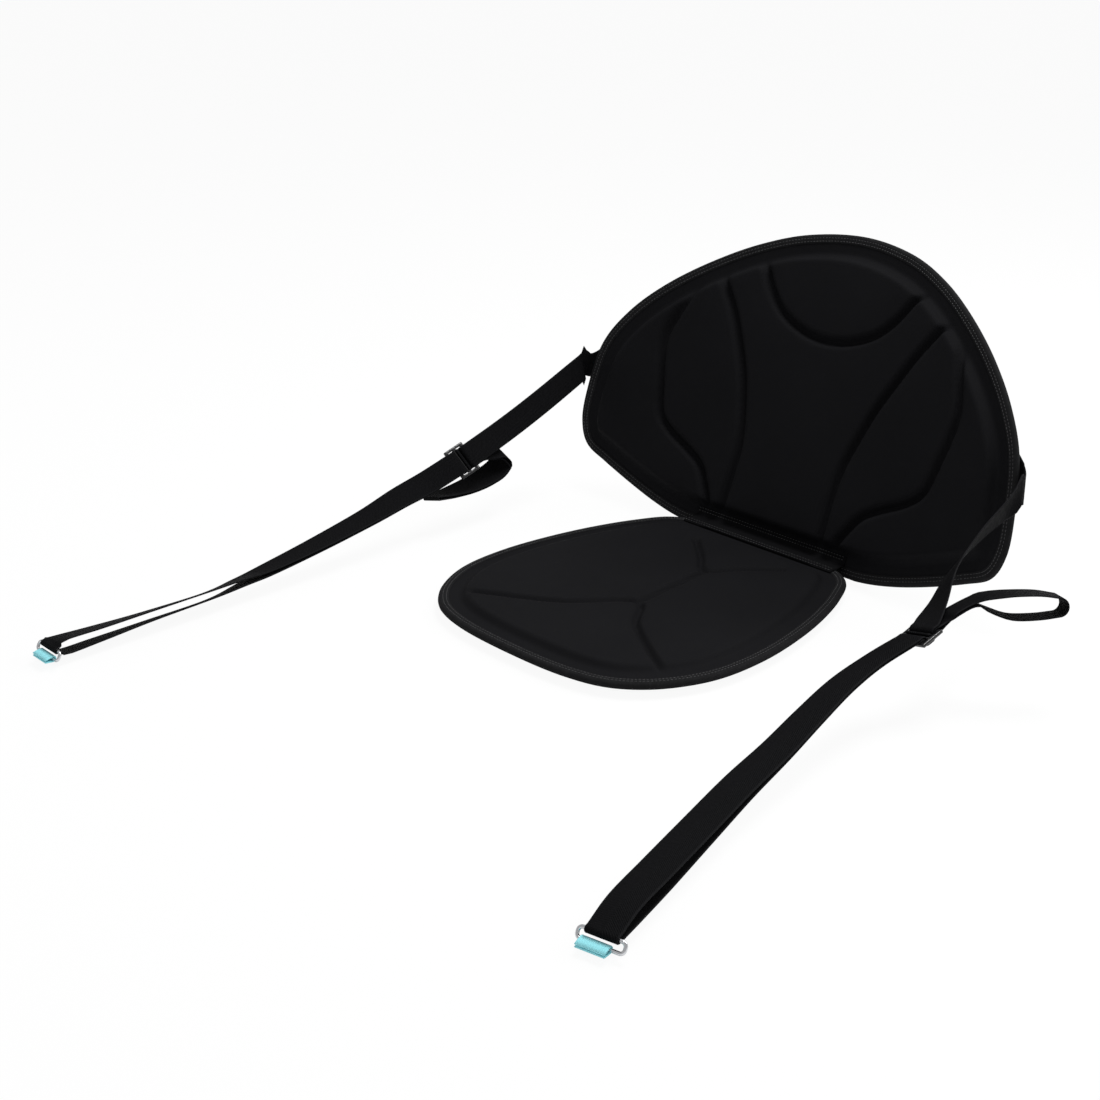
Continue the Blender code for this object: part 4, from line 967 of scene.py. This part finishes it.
def pull_loop(side):
    place, run, across, under = slider_frame(side)
    rear_bar = place - (SLIDER_BAR + SLIDER_SLOT) * run
    beside = SLIDER_BAR / 2 + FIT_GAP + WEB_THICKNESS / 2
    above = SLIDER_THICKNESS / 2 + FIT_GAP + WEB_THICKNESS / 2
    wrap = []
    for s, h in ((-0.6, -1.0), (0.5, -1.0), (1.0, -0.4), (1.0, 0.4), (0.5, 1.0), (-0.6, 1.0)):
        wrap.append(np.array((*(rear_bar + s * beside * run + h * above * under), *across)))
    stem = [(0.6 * beside, 2 * above), (LOOP_STEM[0], 1.3 * above),
            (LOOP_STEM[1], WEB_THICKNESS + 2 * FIT_GAP)]
    control = [np.array((*(rear_bar - s * run), *across, gap)) for s, gap in stem]
    control += [np.array((*p[:3], *unit(p[3:6]), p[6])) for p in LOOP_ROUTE[side]]
    rows = path(control, WEB_STEP)
    turn = -1.0 if np.dot(np.cross(across, -run), under) > 0 else 1.0
    near, far, along, raised = doubled_rows(rows, turn, 0.5, 0.5)
    tip = []
    for angle in range(-72, 73, 18):
        bend = math.radians(angle)
        out = rows[-1][6] / 2 * (math.cos(bend) * along + math.sin(bend) * raised)
        tip.append(np.array((*(rows[-1][:3] + out), *rows[-1][3:6])))
    band = far[1:] + tip + near[:0:-1] + path(wrap, 0.0012)
    ribbon(side + "_grab_loop", band, WEB_WIDTH, WEB_THICKNESS, webbing, closed=True,
           stands_for=[side + "_pull_loop"])


# The slider is moulded in glossy black plastic: three rounded bars between two
# cheeks, with two slots.
slider_plastic = Finish("slider_plastic", Base_Color=(0.008, 0.008, 0.009, 1.0), Roughness=0.22)
mould_grain = slider_plastic.node("ShaderNodeTexNoise", None, {
    "Vector": slider_plastic.node("ShaderNodeTexCoord", output=3), "Scale": 900.0, "Detail": 2.0})
slider_plastic.feed(slider_plastic.shader.inputs["Roughness"], mould_grain * 0.16 + 0.14)
slider_plastic.feed(slider_plastic.shader.inputs["Normal"], slider_plastic.node("ShaderNodeBump", None, {
    "Strength": 0.15, "Distance": 0.0002, "Height": mould_grain}))


def slider_body(side):
    place, run, across, under = slider_frame(side)
    columns = [-SLIDER_WIDTH / 2, -WEB_WIDTH / 2 - 0.001, WEB_WIDTH / 2 + 0.001, SLIDER_WIDTH / 2]
    length = 3 * SLIDER_BAR + 2 * SLIDER_SLOT
    rows = [-length / 2]
    for size in (SLIDER_BAR, SLIDER_SLOT, SLIDER_BAR, SLIDER_SLOT, SLIDER_BAR):
        rows.append(rows[-1] + size)
    body = bmesh.new()
    bmesh.ops.create_grid(body, x_segments=3, y_segments=5, size=0.5)
    for vert in body.verts:
        column = round((vert.co.x + 0.5) * 3)
        line = round((vert.co.y + 0.5) * 5)
        vert.co = (columns[column], rows[line], 0.0)
    slots = [f for f in body.faces
             if abs(f.calc_center_median().x) < 0.001 and abs(abs(f.calc_center_median().y) - 0.005) < 0.001]
    bmesh.ops.delete(body, geom=slots, context="FACES")
    grown = bmesh.ops.extrude_face_region(body, geom=body.faces[:])["geom"]
    bmesh.ops.translate(body, vec=(0.0, 0.0, SLIDER_THICKNESS),
                        verts=[g for g in grown if isinstance(g, bmesh.types.BMVert)])
    bmesh.ops.translate(body, vec=(0.0, 0.0, -SLIDER_THICKNESS / 2), verts=body.verts)
    bmesh.ops.recalc_face_normals(body, faces=body.faces)
    sharp = [e for e in body.edges if e.calc_face_angle(0.0) > 1.0]
    bmesh.ops.bevel(body, geom=sharp, offset=0.0009, segments=3, profile=0.5, affect="EDGES", material=-1)
    for vert in body.verts:
        x, y, z = vert.co
        vert.co = place + x * across + y * run + z * under
    finished_piece(side + "_plastic_slider", body, slider_plastic,
                   stands_for=[side + "_slider"])


# The ring is bent from bright steel wire. The webbing goes round its near bar.
steel_wire = Finish("steel_wire", Base_Color=(0.62, 0.63, 0.65, 1.0), Metallic=1.0, Roughness=0.22)
wire_marks = steel_wire.node("ShaderNodeTexNoise", None, {
    "Vector": steel_wire.node("ShaderNodeTexCoord", output=3), "Scale": 260.0, "Detail": 4.0})
steel_wire.feed(steel_wire.shader.inputs["Roughness"], wire_marks * 0.25 + 0.10)


def wire_ring(side):
    place, bar, _, towards = ring_frame(side)
    long_half = (RING_WIDTH - RING_WIRE) / 2
    depth = RING_DEPTH - RING_WIRE
    track = []
    for cx, cy, start in ((1, 0, -90), (1, 1, 0), (-1, 1, 90), (-1, 0, 180)):
        middle = (cx * (long_half - RING_CORNER), RING_CORNER if cy == 0 else depth - RING_CORNER)
        for k in range(9):
            turn = math.radians(start + 11.25 * k)
            x = middle[0] + RING_CORNER * math.cos(turn)
            y = middle[1] + RING_CORNER * math.sin(turn)
            track.append(place + x * bar + y * towards)
    normal = np.cross(bar, towards)
    rings = []
    flats = []
    for i, here in enumerate(track):
        along = unit(track[(i + 1) % len(track)] - track[i - 1])
        side_way = np.cross(along, normal)
        rings.append([here + RING_WIRE / 2 * (math.cos(a) * normal + math.sin(a) * side_way)
                      for a in np.arange(14) * 2 * math.pi / 14])
        flats.append([(0.0, 0.0, 0.0)] * 14)
    finished_piece(side + "_wire_ring", swept(rings, flats, closed=True), steel_wire,
                   body=side + "_ring", stands_for=[side + "_ring"])


# The anchor tab is a short turquoise band folded over the ring's outer bar.
TAB_WIDTH = 0.0225
TAB_THICKNESS = 0.0012
TAB_REACH = 0.0075
TAB_SHIFT = {"right": -0.0030, "left": 0.0}
TAB_ENDS = (0.0005, -0.0014)
tab_cloth = cloth_finish("tab_cloth", (0.36, 0.88, 0.96), 0.0013, 0.1, 0.7)


def anchor_tab(side):
    place, bar, forward, towards = ring_frame(side)
    outer = place + (RING_DEPTH - RING_WIRE) * towards + TAB_SHIFT[side] * bar
    up = np.array((0.0, 0.0, 1.0))
    reach = RING_WIRE / 2 + FIT_GAP + TAB_THICKNESS / 2
    section = [(TAB_REACH, TAB_ENDS[0]), (TAB_REACH * 0.5, 0.72 * reach)]
    for k in range(13):
        turn = math.radians(90 + 15 * k)
        section.append((reach * math.cos(turn), reach * math.sin(turn)))
    section += [(TAB_REACH * 0.5, -0.85 * reach), (TAB_REACH, TAB_ENDS[1])]
    rows = [np.array((*(outer + f * forward + h * up), *bar)) for f, h in section]
    ribbon(side + "_turquoise_tab", rows, TAB_WIDTH, TAB_THICKNESS, tab_cloth,
           body=side + "_ring", stands_for=[side + "_anchor_tab"])


for side, sign in (("right", 1), ("left", -1)):
    rows, root, behind = strap_rows(side)
    ribbon(side + "_webbing", rows, WEB_WIDTH, WEB_THICKNESS, webbing,
           stands_for=[side + "_strap"])
    sewn_patch(side, sign, root, behind)
    pull_loop(side)
    slider_body(side)
    wire_ring(side)
    anchor_tab(side)

bpy.data.meshes.remove(stitch_mesh)
